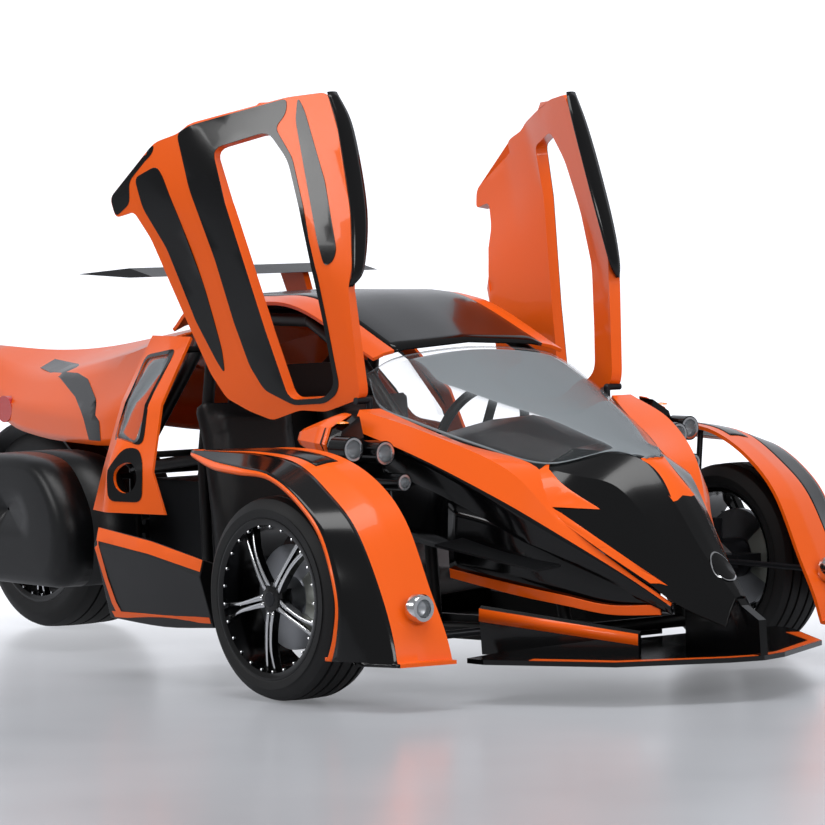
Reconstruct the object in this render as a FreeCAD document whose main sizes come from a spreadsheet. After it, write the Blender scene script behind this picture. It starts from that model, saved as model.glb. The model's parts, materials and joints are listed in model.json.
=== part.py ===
# Open two-seat reverse trike: two steered front wheels, one driven rear wheel, two scissor doors.
# Millimetres. +Z is up, the nose points along -Y and the vehicle's left side is +X.
# Every piece is drawn from the front axle: "aft" is the distance behind it, along +Y.
import FreeCAD, Part
import math
import os
import Sketcher
from FreeCAD import Rotation, Vector

os.makedirs("parts", exist_ok=True)
doc = FreeCAD.newDocument("reverse_trike")

# Driving dimensions
SIZES = (
    ("front_axle_place", -870),
    ("wheelbase", 2320),
    ("half_track", 874),
    ("kingpin_half", 750),
    ("front_tyre_radius", 293),
    ("front_tyre_width", 205),
    ("front_rim_radius", 218),
    ("rear_tyre_radius", 332),
    ("rear_tyre_width", 295),
    ("rear_rim_radius", 232),
    ("rim_wall", 9),
    ("tyre_shoulder", 34),
    ("tyre_bulge", 6),
    ("hub_radius", 46),
    ("bearing_radius", 20),
    ("running_gap", 0.05),
    ("seat_gap", 0.3),
    ("disc_radius", 150),
    ("disc_thick", 20),
    ("disc_inboard", 54),
    ("spoke_inboard", 12),
    ("spoke_depth", 26),
    ("spoke_width", 17),
    ("panel_wall", 12),
    ("glass_wall", 6),
    ("door_wall", 38),
    ("door_open_angle", 60),
    ("hinge_aft", 150),
    ("hinge_height", 830),
    ("frame_tube", 19),
    ("light_tube", 12),
    ("floor_height", 128),
    ("floor_wall", 14),
    ("pannier_inner", 330),
    ("pannier_split", 505),
    ("pannier_outer", 625),
    ("pannier_wall", 6),
    ("pannier_gap", 0.4),
    ("wing_chord", 400),
    ("wing_half_span", 450),
    ("wing_thick", 26),
    ("steering_radius", 165),
    ("steering_grip", 15),
    ("steering_aft", 470),
    ("steering_height", 690),
    ("steering_side", 235),
    ("steering_tilt", 24),
    ("seat_side", 235),
)
sheet = doc.addObject("Spreadsheet::Sheet", "sizes")
for row, (alias, value) in enumerate(SIZES, 1):
    sheet.set(f"A{row}", alias)
    sheet.set(f"B{row}", str(value))
    sheet.setAlias(f"B{row}", alias)
doc.recompute()

subparts = []
FLAT_ENOUGH = 0.5  # cubic millimetres of twist below which four corners make one flat facet


def size(alias):
    return float(sheet.get(alias))


def keep(piece, label):
    """Registers a finished sub-part under the name of its file."""
    piece.Label = label
    subparts.append(piece)
    return piece


def fixed(label, shapes):
    """A sub-part of one or more solids drawn from the front axle."""
    solids = [solid for shape in shapes for solid in shape.Solids]
    piece = doc.addObject("Part::Feature", label)
    piece.Shape = Part.makeCompound(solids)
    piece.setExpression(".Placement.Base.y", "sizes.front_axle_place")
    return keep(piece, label)


def mirrored(shape):
    """The same shape on the other side of the vehicle."""
    return shape.mirror(Vector(0, 0, 0), Vector(1, 0, 0))


def both(shapes):
    return [side for shape in shapes for side in (shape, mirrored(shape))]


def loft(corner_rows):
    """A closed solid of flat facets between outlines of equally many corners."""
    facets = [corner_rows[0], corner_rows[-1]]
    for near, far in zip(corner_rows, corner_rows[1:]):
        for k in range(len(near)):
            after = (k + 1) % len(near)
            a, b, c, d = near[k], near[after], far[after], far[k]
            twist = abs((b - a).cross(c - a).dot(d - a))
            if twist < FLAT_ENOUGH:
                facets.append([a, b, c, d])
            elif (c - a).Length <= (d - b).Length:
                facets += [[a, b, c], [a, c, d]]
            else:
                facets += [[a, b, d], [b, c, d]]
    faces = [Part.Face(Part.makePolygon(facet + [facet[0]])) for facet in facets]
    shell = Part.makeShell(faces)
    shell.sewShape()
    solid = Part.makeSolid(shell)
    if solid.Volume < 0:
        solid.reverse()
    return solid


def inset(line, wall):
    """An open (x, z) line moved to its right-hand side by the wall thickness, corners mitred."""
    sides = []
    for (x, z), (next_x, next_z) in zip(line, line[1:]):
        length = math.hypot(next_x - x, next_z - z)
        sides.append(((next_z - z) / length, (x - next_x) / length))
    moved = []
    for index, (x, z) in enumerate(line):
        before, after = sides[max(index - 1, 0)], sides[min(index, len(sides) - 1)]
        across, up = before[0] + after[0], before[1] + after[1]
        reach = wall / (1 + before[0] * after[0] + before[1] * after[1])
        moved.append((x + across * reach, z + up * reach))
    return moved


def skin(stations, wall):
    """A wall lofted along the vehicle; each station is (aft, [(x, z), ...] of its outer face)."""
    rows = []
    for aft, line in stations:
        section = list(line) + inset(line, wall)[::-1]
        rows.append([Vector(x, aft, z) for x, z in section])
    return loft(rows)


def arched(stations, wall):
    """A skin over the middle: each station gives the left half, from its edge to the ridge."""
    full = [(aft, list(half) + [(-x, z) for x, z in half[-2::-1]]) for aft, half in stations]
    return skin([(aft, line[::-1]) for aft, line in full], wall)


def slab(outline, low, thick, axis):
    """A flat plate: an outline in the two other axes, thickened along the given one."""
    order = {"x": lambda a, b: Vector(low, a, b), "y": lambda a, b: Vector(a, low, b),
             "z": lambda a, b: Vector(a, b, low)}[axis]
    corners = [order(a, b) for a, b in outline]
    along = {"x": Vector(thick, 0, 0), "y": Vector(0, thick, 0), "z": Vector(0, 0, thick)}[axis]
    return Part.Face(Part.makePolygon(corners + [corners[0]])).extrude(along)


def rod(start, end, radius):
    start, end = Vector(*start), Vector(*end)
    return Part.makeCylinder(radius, (end - start).Length, start, end - start)


NODE_PROUD = 0.6


def tubes(runs, radius):
    """Round tubes joined at ball-shaped nodes; each run is a list of (x, aft, height) points."""
    points = sorted({point for run in runs for point in run})
    pieces = [Part.makeSphere(radius + NODE_PROUD, Vector(*point)) for point in points]
    for run in runs:
        pieces += [rod(start, end, radius) for start, end in zip(run, run[1:])]
    return pieces[0].multiFuse(pieces[1:])


def box(low, high):
    low, high = Vector(*low), Vector(*high)
    step = high - low
    return Part.makeBox(step.x, step.y, step.z, low)


def sketch_on(body, role, name):
    """An empty sketch lying on one of the body's own origin planes."""
    plane = [feature for feature in body.Origin.OriginFeatures if feature.Role == role][0]
    sketch = body.newObject("Sketcher::SketchObject", name)
    sketch.AttachmentSupport = [(plane, "")]
    sketch.MapMode = "FlatFace"
    return sketch


def closed_outline(sketch, corners):
    """Straight lines between corners, each held by a pair of expressions in the sheet's sizes."""
    count = len(corners)
    turn = 2 * math.pi / count
    ring = [Vector(math.cos(turn * k), math.sin(turn * k), 0) * 100 for k in range(count)]
    for k in range(count):
        sketch.addGeometry(Part.LineSegment(ring[k], ring[(k + 1) % count]), False)
    for k in range(count):
        sketch.addConstraint(Sketcher.Constraint("Coincident", k, 2, (k + 1) % count, 1))
    for k, (across, up) in enumerate(corners):
        first = sketch.addConstraint(Sketcher.Constraint("DistanceX", -1, 1, k, 1, ring[k].x))
        sketch.setExpression(f"Constraints[{first}]", across)
        second = sketch.addConstraint(Sketcher.Constraint("DistanceY", -1, 1, k, 1, ring[k].y))
        sketch.setExpression(f"Constraints[{second}]", up)
    return sketch


def turned(label, corners):
    """A body revolved about its own X axis; each corner is (distance along X, radius)."""
    body = doc.addObject("PartDesign::Body", label)
    sketch = closed_outline(sketch_on(body, "XY_Plane", label + "_section"), corners)
    turn = body.newObject("PartDesign::Revolution", label + "_turn")
    turn.Profile = sketch
    turn.ReferenceAxis = (sketch, ["H_Axis"])
    turn.Angle = 360
    return body


def at_wheel(body, side):
    """Places a body on its wheel's centre: 1 is front left, -1 front right, 0 rear."""
    if side:
        body.setExpression(".Placement.Base.x", f"{side} * sizes.half_track")
        body.setExpression(".Placement.Base.y", "sizes.front_axle_place")
        body.setExpression(".Placement.Base.z", "sizes.front_tyre_radius")
    else:
        body.setExpression(".Placement.Base.y", "sizes.front_axle_place + sizes.wheelbase")
        body.setExpression(".Placement.Base.z", "sizes.rear_tyre_radius")
    if side < 0:
        body.Placement.Rotation = Rotation(Vector(0, 0, 1), 180)
    return body


# Wheels: tyres, rims with five spokes and brake discs, turned about their own axle
def tyre(label, end, side):
    radius, rim = f"sizes.{end}_tyre_radius", f"sizes.{end}_rim_radius"
    half = f"sizes.{end}_tyre_width / 2"
    body = turned(label, (
        (f"-({half}) + 10", f"{rim} + 18"),
        (f"-({half})", f"{rim} + 18"),
        (f"-({half}) - sizes.tyre_bulge + 6", f"({rim} + {radius}) / 2"),
        (f"-({half}) + 8", f"{radius} - sizes.tyre_shoulder"),
        (f"-({half}) + sizes.tyre_shoulder", f"{radius} - 5"),
        ("0", radius),
        (f"{half} - sizes.tyre_shoulder", f"{radius} - 5"),
        (f"{half} - 8", f"{radius} - sizes.tyre_shoulder"),
        (f"{half} + sizes.tyre_bulge - 6", f"({rim} + {radius}) / 2"),
        (half, f"{rim} + 18"),
        (f"{half} - 10", f"{rim} + 18"),
        (f"{half} - 10", f"{rim} + 0.2"),
        (f"-({half}) + 10", f"{rim} + 0.2"),
    ))
    return keep(at_wheel(body, side), label)


def rim(label, end, side):
    """Barrel with lips, hub and five pairs of thin spokes at its outer face."""
    outer = f"sizes.{end}_rim_radius"
    half = f"sizes.{end}_tyre_width / 2"
    body = turned(label, (
        (f"-({half}) + 10", outer),
        (f"{half} - 10", outer),
        (f"{half} - 10", f"{outer} + 14"),
        (f"{half} - 2", f"{outer} + 14"),
        (f"{half} - 2", f"{outer} - sizes.rim_wall"),
        (f"-({half}) + 10", f"{outer} - sizes.rim_wall"),
    ))
    hub = closed_outline(sketch_on(body, "XY_Plane", label + "_hub_section"), (
        (f"{half} - sizes.spoke_inboard - sizes.spoke_depth - 22", "sizes.bearing_radius + sizes.running_gap"),
        (f"{half} - sizes.spoke_inboard", "sizes.bearing_radius + sizes.running_gap"),
        (f"{half} - sizes.spoke_inboard", "sizes.hub_radius"),
        (f"{half} - sizes.spoke_inboard - sizes.spoke_depth - 22", "sizes.hub_radius"),
    ))
    hub_turn = body.newObject("PartDesign::Revolution", label + "_hub_turn")
    hub_turn.Profile = hub
    hub_turn.ReferenceAxis = (hub, ["H_Axis"])
    hub_turn.Angle = 360
    spoke = sketch_on(body, "YZ_Plane", label + "_spoke_outline")
    spoke.setExpression(".AttachmentOffset.Base.z", f"{half} - sizes.spoke_inboard - sizes.spoke_depth")
    closed_outline(spoke, (
        ("-30", "sizes.hub_radius - 6"),
        ("30", "sizes.hub_radius - 6"),
        ("18 + sizes.spoke_width", f"{outer} - sizes.rim_wall + 4"),
        ("18", f"{outer} - sizes.rim_wall + 4"),
        ("6", "sizes.hub_radius + 42"),
        ("-6", "sizes.hub_radius + 42"),
        ("-18", f"{outer} - sizes.rim_wall + 4"),
        ("-18 - sizes.spoke_width", f"{outer} - sizes.rim_wall + 4"),
    ))
    pad = body.newObject("PartDesign::Pad", label + "_spoke")
    pad.Profile = spoke
    pad.setExpression("Length", "sizes.spoke_depth")
    doc.recompute()
    ring = body.newObject("PartDesign::PolarPattern", label + "_spokes")
    ring.Originals = [pad]
    axle = [feature for feature in body.Origin.OriginFeatures if feature.Role == "X_Axis"][0]
    ring.Axis = (axle, [""])
    ring.Angle = 360
    ring.Occurrences = 5
    body.Tip = ring
    return keep(at_wheel(body, side), label)


def brake_disc(label, side):
    """Plain disc with a short bell that sits against the back of the hub."""
    half = "sizes.front_tyre_width / 2" if side else "sizes.rear_tyre_width / 2"
    seat = f"{half} - sizes.spoke_inboard - sizes.spoke_depth - 22"
    body = turned(label, (
        (f"{seat} - sizes.disc_inboard", "sizes.bearing_radius + 12"),
        (seat, "sizes.bearing_radius + 12"),
        (seat, "sizes.hub_radius"),
        (f"{seat} - sizes.disc_inboard + sizes.disc_thick", "sizes.hub_radius + 14"),
        (f"{seat} - sizes.disc_inboard + sizes.disc_thick", "sizes.disc_radius"),
        (f"{seat} - sizes.disc_inboard", "sizes.disc_radius"),
    ))
    return keep(at_wheel(body, side), label)


for end, side, name in (("front", 1, "front_left"), ("front", -1, "front_right"), ("rear", 0, "rear")):
    tyre(f"tyre_{name}", end, side)
    rim(f"rim_{name}", end, side)
    brake_disc(f"disc_{name}", side)

# Knuckles, calipers, cycle fenders and fog lamps: all turn with the steering
axle_height = size("front_tyre_radius")
kingpin = size("kingpin_half")
knuckle_top, knuckle_low = axle_height + 128, axle_height - 128
disc_face = (size("half_track") + size("front_tyre_width") / 2 - size("spoke_inboard")
             - size("spoke_depth") - 22 - size("disc_inboard"))
upright = slab([(-34, knuckle_low), (34, knuckle_low), (34, knuckle_top), (-34, knuckle_top)],
               kingpin - 17, 34, "x")
spindle = rod((kingpin, 0, axle_height), (kingpin + 205, 0, axle_height), size("bearing_radius"))
carrier = rod((kingpin, 0, axle_height), (disc_face - 4, 0, axle_height), 62)
caliper_arm = box((kingpin - 12, -128, axle_height - 20), (disc_face - 18, -50, axle_height + 20))
stay_x = kingpin - 8
stays = tubes([[(stay_x, 28, knuckle_top - 40), (stay_x, 52, knuckle_top + 50), (stay_x + 28, 60, 690)],
               [(stay_x, -20, axle_height), (stay_x, -420, axle_height - 4)]], 9)
knuckle = upright.multiFuse([spindle, carrier, caliper_arm, stays])

caliper_angle = 32
disc_radius = size("disc_radius")


def sector(inner, outer, low, high, centre, half_angle, mid_angle):
    """Part of a ring about the axle; angles are measured from straight ahead, upwards."""
    section = Part.Face(Part.makePolygon([
        Vector(low, -inner, 0), Vector(high, -inner, 0), Vector(high, -outer, 0),
        Vector(low, -outer, 0), Vector(low, -inner, 0)]))
    ring = section.revolve(Vector(0, 0, 0), Vector(1, 0, 0), 2 * half_angle)
    ring.rotate(Vector(0, 0, 0), Vector(1, 0, 0), -mid_angle - half_angle)
    ring.translate(centre)
    return ring


front_axle = Vector(0, 0, axle_height)
disc_low, disc_high = disc_face - 24, disc_face + size("disc_thick") + 18
caliper = sector(88, disc_radius + 20, disc_low, disc_high, front_axle, caliper_angle, 6)
disc_slot = sector(80, disc_radius + 6, disc_face - 3, disc_face + size("disc_thick") + 3,
                   front_axle, caliper_angle + 4, 6)
caliper = caliper.cut(disc_slot).cut(knuckle)

# Fender sections: angle up from straight ahead, then (x, radius) at lip, crease, crown and inner edge
FENDER = (
    (-32, (985, 324), (900, 590), (800, 608), (720, 622)),
    (-15, (985, 322), (890, 486), (800, 506), (720, 520)),
    (5, (985, 322), (880, 398), (800, 412), (720, 418)),
    (35, (985, 324), (880, 358), (800, 376), (720, 386)),
    (60, (985, 328), (880, 350), (800, 372), (722, 382)),
    (85, (985, 350), (880, 382), (804, 394), (736, 398)),
    (108, (985, 376), (890, 424), (820, 434), (762, 436)),
    (126, (962, 452), (900, 500), (850, 506), (806, 500)),
    (137, (918, 575), (903, 592), (894, 594), (886, 590)),
)


def fender_shape():
    wall = size("panel_wall")
    rows = []
    for angle, *section in FENDER:
        turn = math.radians(angle)
        corners = section + inset(section[::-1], wall)
        rows.append([Vector(x, -radius * math.cos(turn), axle_height + radius * math.sin(turn))
                     for x, radius in corners])
    return loft(rows)


FENDER_LOW = 138
fender = fender_shape().cut(box((600, -900, -200), (1100, 200, FENDER_LOW)))
fog_lamp = rod((800, -486, 283), (800, -452, 283), 40)
fender = fender.cut(fog_lamp)
knuckle_left = max(knuckle.cut(fender).Solids, key=lambda solid: solid.Volume)
for name, place in (("left", lambda shape: shape), ("right", mirrored)):
    fixed(f"knuckle_{name}", [place(knuckle_left)])
    fixed(f"caliper_{name}", [place(caliper)])
    fixed(f"fender_{name}", [place(fender)])
    fixed(f"fog_lamp_{name}", [place(fog_lamp)])

# Space frame: lower and upper rails, roll hoop, roof rails and rear cradle
tube = size("frame_tube")
RAILS = (
    [(225, -430, 172), (300, 60, 160), (330, 1120, 160), (215, 1660, 250)],
    [(225, -430, 172), (225, -380, 420), (330, 60, 560), (372, 60, 700), (340, 330, 922),
     (325, 600, 1052), (320, 1080, 1058), (330, 1140, 620), (215, 1660, 560)],
    [(330, 1120, 160), (330, 1140, 620)],
    [(300, 60, 160), (330, 60, 560)],
    [(320, 1080, 1058), (215, 1660, 560), (215, 1660, 250)],
)
CROSSES = ((225, -430, 172), (225, -380, 420), (330, 60, 560), (325, 600, 1052), (320, 1080, 1058),
           (330, 1140, 620), (330, 1120, 160), (215, 1660, 560), (215, 1660, 250))
side_frame = tubes(RAILS, tube)
side_frames = [side_frame, mirrored(side_frame)]
crosses = [rod((x, aft, height), (-x, aft, height), tube).cut(side_frames) for x, aft, height in CROSSES]
crosses = [max(cross.Solids, key=lambda solid: solid.Volume) for cross in crosses]
bare_frame = Part.makeCompound(side_frames + crosses)
fixed("frame_left", [side_frames[0]])
fixed("frame_right", [side_frames[1]])
fixed("frame_crosses", crosses)

# Floor tub between the rails, bulkhead behind the seats and one plain engine block
floor_z, floor_wall = size("floor_height"), size("floor_wall")
FLOOR = ((-350, 219), (40, 279), (1090, 311))
FLOOR_SIDE = 200
floor_rows = [(aft, [(half, FLOOR_SIDE), (half, floor_z), (-half, floor_z), (-half, FLOOR_SIDE)])
              for aft, half in FLOOR]
floor = skin(floor_rows, floor_wall)
fixed("floor_pan", [floor.cut(bare_frame)])
bulkhead = slab([(-300, 150), (300, 150), (300, 600), (235, 900), (-235, 900), (-300, 600)], 1098, 8, "y")
bulkhead = bulkhead.cut(bare_frame)
fixed("bulkhead", [bulkhead])
engine = box((-185, 1210, 190), (185, 1630, 530))
fixed("engine_block", [engine])

# Nose: crowned hood, two black flanks, dash and windscreen
wall = size("panel_wall")
HOOD = (
    (-350, [(352, 585), (244, 640), (120, 690), (0, 700)]),
    (-460, [(288, 505), (210, 620), (100, 682), (0, 684)]),
    (-570, [(238, 425), (150, 588), (43, 655), (0, 658)]),
    (-692, [(174, 338), (110, 465), (45, 546), (0, 549)]),
    (-800, [(128, 262), (78, 345), (36, 408), (0, 412)]),
    (-915, [(60, 204), (40, 252), (20, 284), (0, 288)]),
)
hood = arched(HOOD, wall)
fixed("nose_hood", [hood])
FLANK = (
    (115, [(454, 806), (532, 806), (562, 752), (446, 627), (417, 434)]),
    (-120, [(356, 712), (470, 742), (502, 672), (425, 560), (400, 400)]),
    (-345, [(256, 642), (366, 640), (405, 560), (372, 460), (330, 380)]),
    (-470, [(280, 506), (292, 500), (312, 470), (300, 400), (270, 350)]),
    (-640, [(190, 360), (194, 356), (198, 348), (196, 320), (190, 290)]),
    (-770, [(130, 268), (133, 265), (136, 260), (136, 248), (132, 236)]),
)
flank = skin(FLANK, wall)
flank = max(flank.cut(hood).Solids, key=lambda solid: solid.Volume)
fixed("nose_flanks", both([flank]))
SCREEN = (
    (-566, [(34, 664), (18, 669), (0, 671)]),
    (-480, [(92, 688), (50, 697), (0, 702)]),
    (-355, [(232, 648), (130, 722), (0, 744)]),
    (-180, [(330, 702), (205, 780), (0, 812)]),
    (20, [(408, 768), (265, 850), (0, 884)]),
    (128, [(446, 812), (300, 888), (0, 926)]),
    (240, [(398, 905), (270, 950), (0, 970)]),
)
screen = arched(SCREEN, size("glass_wall")).cut(hood)
fixed("windscreen", [screen])
DASH = (
    (-330, [(330, 500), (300, 615), (0, 660)]),
    (-40, [(400, 560), (360, 700), (0, 772)]),
    (150, [(420, 560), (360, 690), (0, 752)]),
    (230, [(420, 520), (350, 620), (0, 660)]),
)
dash = arched(DASH, 8).cut(bare_frame)
fixed("dash_panel", [dash])

# Roof skin over the rails
ROOF = (
    (245, [(372, 948), (250, 972), (0, 990)]),
    (600, [(372, 1094), (250, 1112), (0, 1122)]),
    (860, [(372, 1106), (250, 1126), (0, 1136)]),
    (1120, [(372, 1094), (250, 1116), (0, 1126)]),
    (1250, [(360, 1020), (250, 1052), (0, 1072)]),
)
roof = arched(ROOF, wall)
fixed("roof_panel", [roof])

# Side pods between the front wheel and the rear quarter
POD = (
    (375, [(612, 300), (640, 372), (912, 380), (926, 330), (880, 180), (560, 180)]),
    (620, [(560, 330), (600, 420), (915, 424), (930, 380), (880, 168), (470, 150)]),
    (900, [(520, 360), (560, 452), (905, 452), (925, 400), (870, 178), (440, 170)]),
)
pod = loft([[Vector(x, aft, z) for x, z in section] for aft, section in POD])
fixed("side_pods", both([pod]))

# Rear quarters: panels from roof to pod with a window and a round vent
QUARTER = (
    (470, [(686, 930), (700, 1170), (640, 1300)]),
    (600, [(664, 985), (674, 1165), (590, 1310)]),
    (800, [(578, 1020), (584, 1170), (500, 1330)]),
    (1000, [(416, 1080), (402, 1150), (385, 1320)]),
)


def quarter_shape(thick, offset):
    """A leaning wall whose sections are level; offset moves it inward from the outer face."""
    rows = []
    for height, line in QUARTER:
        outer = inset(line, -offset) if offset else line
        section = list(outer) + inset(outer, -thick)[::-1]
        rows.append([Vector(x, aft, height) for x, aft in section])
    return loft(rows)


quarter_window = slab([(1070, 680), (1230, 700), (1290, 930), (1130, 950)], 300, 600, "x")
quarter_vent = rod((500, 1092, 578), (1000, 1092, 578), 46)
quarter = quarter_shape(size("panel_wall"), 0).cut(quarter_window).cut(quarter_vent)
quarter_pane = quarter_shape(size("glass_wall"), 3).common(quarter_window)
fixed("quarter_panels", both([quarter]))
fixed("quarter_glass", both([quarter_pane]))

# Tail: a tapering hollow shell with the wing, lamps and hugger
TAIL = (
    (1300, [(415, 600), (400, 820), (290, 1000), (0, 1056)]),
    (1480, [(408, 645), (396, 780), (276, 962), (0, 1026)]),
    (1650, [(396, 648), (382, 740), (262, 925), (0, 1000)]),
    (2060, [(300, 655), (294, 745), (215, 860), (0, 942)]),
    (2380, [(222, 700), (218, 765), (150, 855), (0, 924)]),
    (2740, [(92, 850), (90, 880), (58, 915), (0, 934)]),
)
tail = arched(TAIL, wall)
fixed("tail_body", [tail])
lamp_cup = rod((190, 2360, 735), (238, 2360, 735), 44).cut(tail)
fixed("tail_lamps", both([lamp_cup.Solids[-1]]))

rear_axle = Vector(0, size("wheelbase"), size("rear_tyre_radius"))
hugger_gap = 22
hugger = sector(size("rear_tyre_radius") + hugger_gap, size("rear_tyre_radius") + hugger_gap + 8,
                -165, 165, rear_axle, 62, 78)
arm_x = size("rear_tyre_width") / 2 + 26
arm = slab([(1644, 336), (1644, 396), (2345, 362), (2345, 302)], arm_x - 16, 32, "x")
axle_rod = rod((-arm_x, rear_axle.y, rear_axle.z), (arm_x, rear_axle.y, rear_axle.z), size("bearing_radius"))
cross = box((-arm_x, 1700, 340), (arm_x, 1760, 392))
pivot = rod((-215, 1660, 366), (215, 1660, 366), 14).cut(bare_frame)
swingarm = axle_rod.multiFuse([arm, mirrored(arm), cross, pivot])
fixed("swingarm", [swingarm])
hugger_feet = both([box((150, 1974, 370), (arm_x, 1990, 452))])
hugger = hugger.multiFuse(hugger_feet).cut(swingarm)
fixed("rear_hugger", [hugger])

chord, half_span, blade = size("wing_chord"), size("wing_half_span"), size("wing_thick")
wing_aft, wing_height = 1225, 1185
profile = [(wing_aft, wing_height), (wing_aft + chord * 0.3, wing_height + blade),
           (wing_aft + chord, wing_height + 6), (wing_aft + chord * 0.3, wing_height - 4)]
wing = slab(profile, -half_span, 2 * half_span, "x")
fixed("rear_wing", [wing])
post = slab([(1240, 1030), (1330, 1020), (1420, wing_height + 4), (1300, wing_height - 3)], 200, 24, "x")
posts = [shape.cut(tail).cut(wing).cut(roof).Solids[0] for shape in both([post])]
fixed("wing_posts", posts)

# Front wing: low splitter with a keel, and short winglets on the flanks
SPLITTER = [(0, -1006), (105, -980), (400, -830), (600, -500), (600, -430), (440, -380), (0, -380)]
plan = SPLITTER + [(-x, aft) for x, aft in SPLITTER[-2:0:-1]]
splitter = slab(plan, 112, 14, "z")
keel = slab([(-1006, 126), (-1000, 225), (-930, 262), (-880, 318), (-700, 330), (-700, 126)], -14, 28, "x")
BAND = ((-340, [(468, 260), (478, 250), (468, 120), (458, 120)]),
        (-712, [(196, 190), (206, 180), (206, 120), (196, 120)]))
band = loft([[Vector(x, aft, z) for x, z in section] for aft, section in BAND])
fixed("splitter", [splitter.multiFuse([keel.cut(hood)] + both([band]))])
winglet = loft([[Vector(x, aft, z) for x, z in section] for aft, section in (
    (-200, [(385, 446), (520, 430), (520, 424), (385, 436)]),
    (-480, [(262, 376), (380, 362), (380, 356), (262, 366)]))])
winglet = max(winglet.cut(flank).Solids, key=lambda solid: solid.CenterOfMass.x)
fixed("winglets", both([winglet]))

# Lamp pods and lamps beside the windscreen
LAMPS = ((658, -12, 701, 37), (574, -52, 687, 36), (566, -127, 606, 26))
POD_SHELL = (
    (62, [(575, 790), (640, 752), (660, 700), (640, 655), (520, 560), (465, 570), (500, 650), (560, 728)]),
    (128, [(580, 796), (662, 762), (682, 715), (662, 672), (560, 590), (520, 600), (530, 650), (565, 735)]),
)
POD_TAIL = (
    (110, [(634, 770), (662, 760), (681, 715), (662, 676), (634, 668)]),
    (235, [(642, 752), (660, 742), (668, 722), (660, 706), (648, 702)]),
)
pod_rows = [[[Vector(x, aft, z) for x, z in section] for aft, section in table] for table in (POD_SHELL, POD_TAIL)]
lamp_pod = loft(pod_rows[0]).fuse(loft(pod_rows[1]))
lamps = [rod((x, front, z), (x, POD_SHELL[0][0], z), radius) for x, front, z, radius in LAMPS]
pod_bracket = rod((500, 95, 690), (600, 95, 735), 10).cut(flank)
pod_bracket = max(pod_bracket.Solids, key=lambda solid: solid.CenterOfMass.x)
fixed("lamp_pods", both([lamp_pod.fuse(pod_bracket)]))
fixed("headlamps", both(lamps))

# Doors: a side outline cut from a lateral band, opened about the hinge, window cut through
DOOR_OUTLINE = [(150, 840), (315, 950), (440, 1010), (674, 1088), (878, 1140), (1015, 1150), (1056, 1049),
                (1135, 743), (1160, 620), (1110, 470), (1010, 420), (803, 500), (484, 552), (361, 561),
                (259, 604), (178, 700)]
DOOR_WINDOW = [(1042, 801), (974, 1015), (855, 990), (638, 951), (379, 907), (215, 838), (185, 807),
               (205, 735), (294, 705), (477, 739), (732, 764), (922, 780)]
DOOR_SIDE = [(480, 1170), (535, 1000), (625, 820), (705, 660), (745, 540), (752, 380)]
DOOR_TAPER = ((90, 80), (300, 50), (640, 14), (1200, 0))
hinge_aft, hinge_height = size("hinge_aft"), size("hinge_height")
hinge_bracket_x, hinge_boss_x, hinge_pin_end, hinge_pin_radius = 466, 490, 518, 10


def door_shape():
    stations = []
    for aft, inward in DOOR_TAPER:
        stations.append((aft, [(x - inward, z) for x, z in DOOR_SIDE]))
    band = skin(stations, size("door_wall"))
    door = band.common(slab(DOOR_OUTLINE, 300, 600, "x"))
    boss = rod((hinge_boss_x, hinge_aft, hinge_height), (600, hinge_aft, hinge_height), 22)
    bore = rod((hinge_boss_x, hinge_aft, hinge_height), (hinge_pin_end + 2, hinge_aft, hinge_height),
               hinge_pin_radius + size("running_gap"))
    door = door.cut(slab(DOOR_WINDOW, 300, 600, "x")).fuse(boss).cut(bore)
    return door


door = door_shape()
door.rotate(Vector(0, hinge_aft, hinge_height), Vector(1, 0, 0), size("door_open_angle"))
bracket = tubes([[(361, hinge_aft, 774), (hinge_bracket_x, hinge_aft, 792),
                  (hinge_bracket_x, hinge_aft, hinge_height)]], hinge_pin_radius)
hinge_pin = rod((hinge_bracket_x, hinge_aft, hinge_height), (hinge_pin_end, hinge_aft, hinge_height),
                hinge_pin_radius)
hinge = bracket.fuse(hinge_pin).cut(bare_frame)
hinge = max(hinge.Solids, key=lambda solid: solid.Volume)
for name, place in (("left", lambda shape: shape), ("right", mirrored)):
    fixed(f"door_{name}", [place(door)])
fixed("door_hinges", both([hinge]))

# Seats, steering wheel and column
seat_side = size("seat_side")
SEAT = [(450, 200), (1000, 200), (1085, 800), (1020, 830), (930, 330), (500, 270)]
seat = slab(SEAT, seat_side - 195, 390, "x")
fixed("seats", both([seat]))
hub_point = Vector(size("steering_side"), size("steering_aft"), size("steering_height"))
tilt = math.radians(size("steering_tilt"))
column_axis = Vector(0, math.cos(tilt), math.sin(tilt))
grip = Part.makeTorus(size("steering_radius"), size("steering_grip"), hub_point, column_axis)
boss = Part.makeCylinder(38, 34, hub_point - column_axis * 34, column_axis)
arms = []
for angle in (0, 180, 270):
    spoke = Part.makeBox(size("steering_radius"), 30, 10, Vector(0, -15, -15))
    spoke.rotate(Vector(0, 0, 0), Vector(0, 0, 1), angle)
    spoke.Placement = FreeCAD.Placement(hub_point, Rotation(Vector(0, 0, 1), column_axis)).multiply(
        spoke.Placement)
    arms.append(spoke)
fixed("steering_wheel", [grip.multiFuse([boss] + arms)])
column = Part.makeCylinder(18, 300, hub_point - column_axis * 334.3, column_axis)
column = column.cut(dash)
fixed("steering_column", [column])

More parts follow.
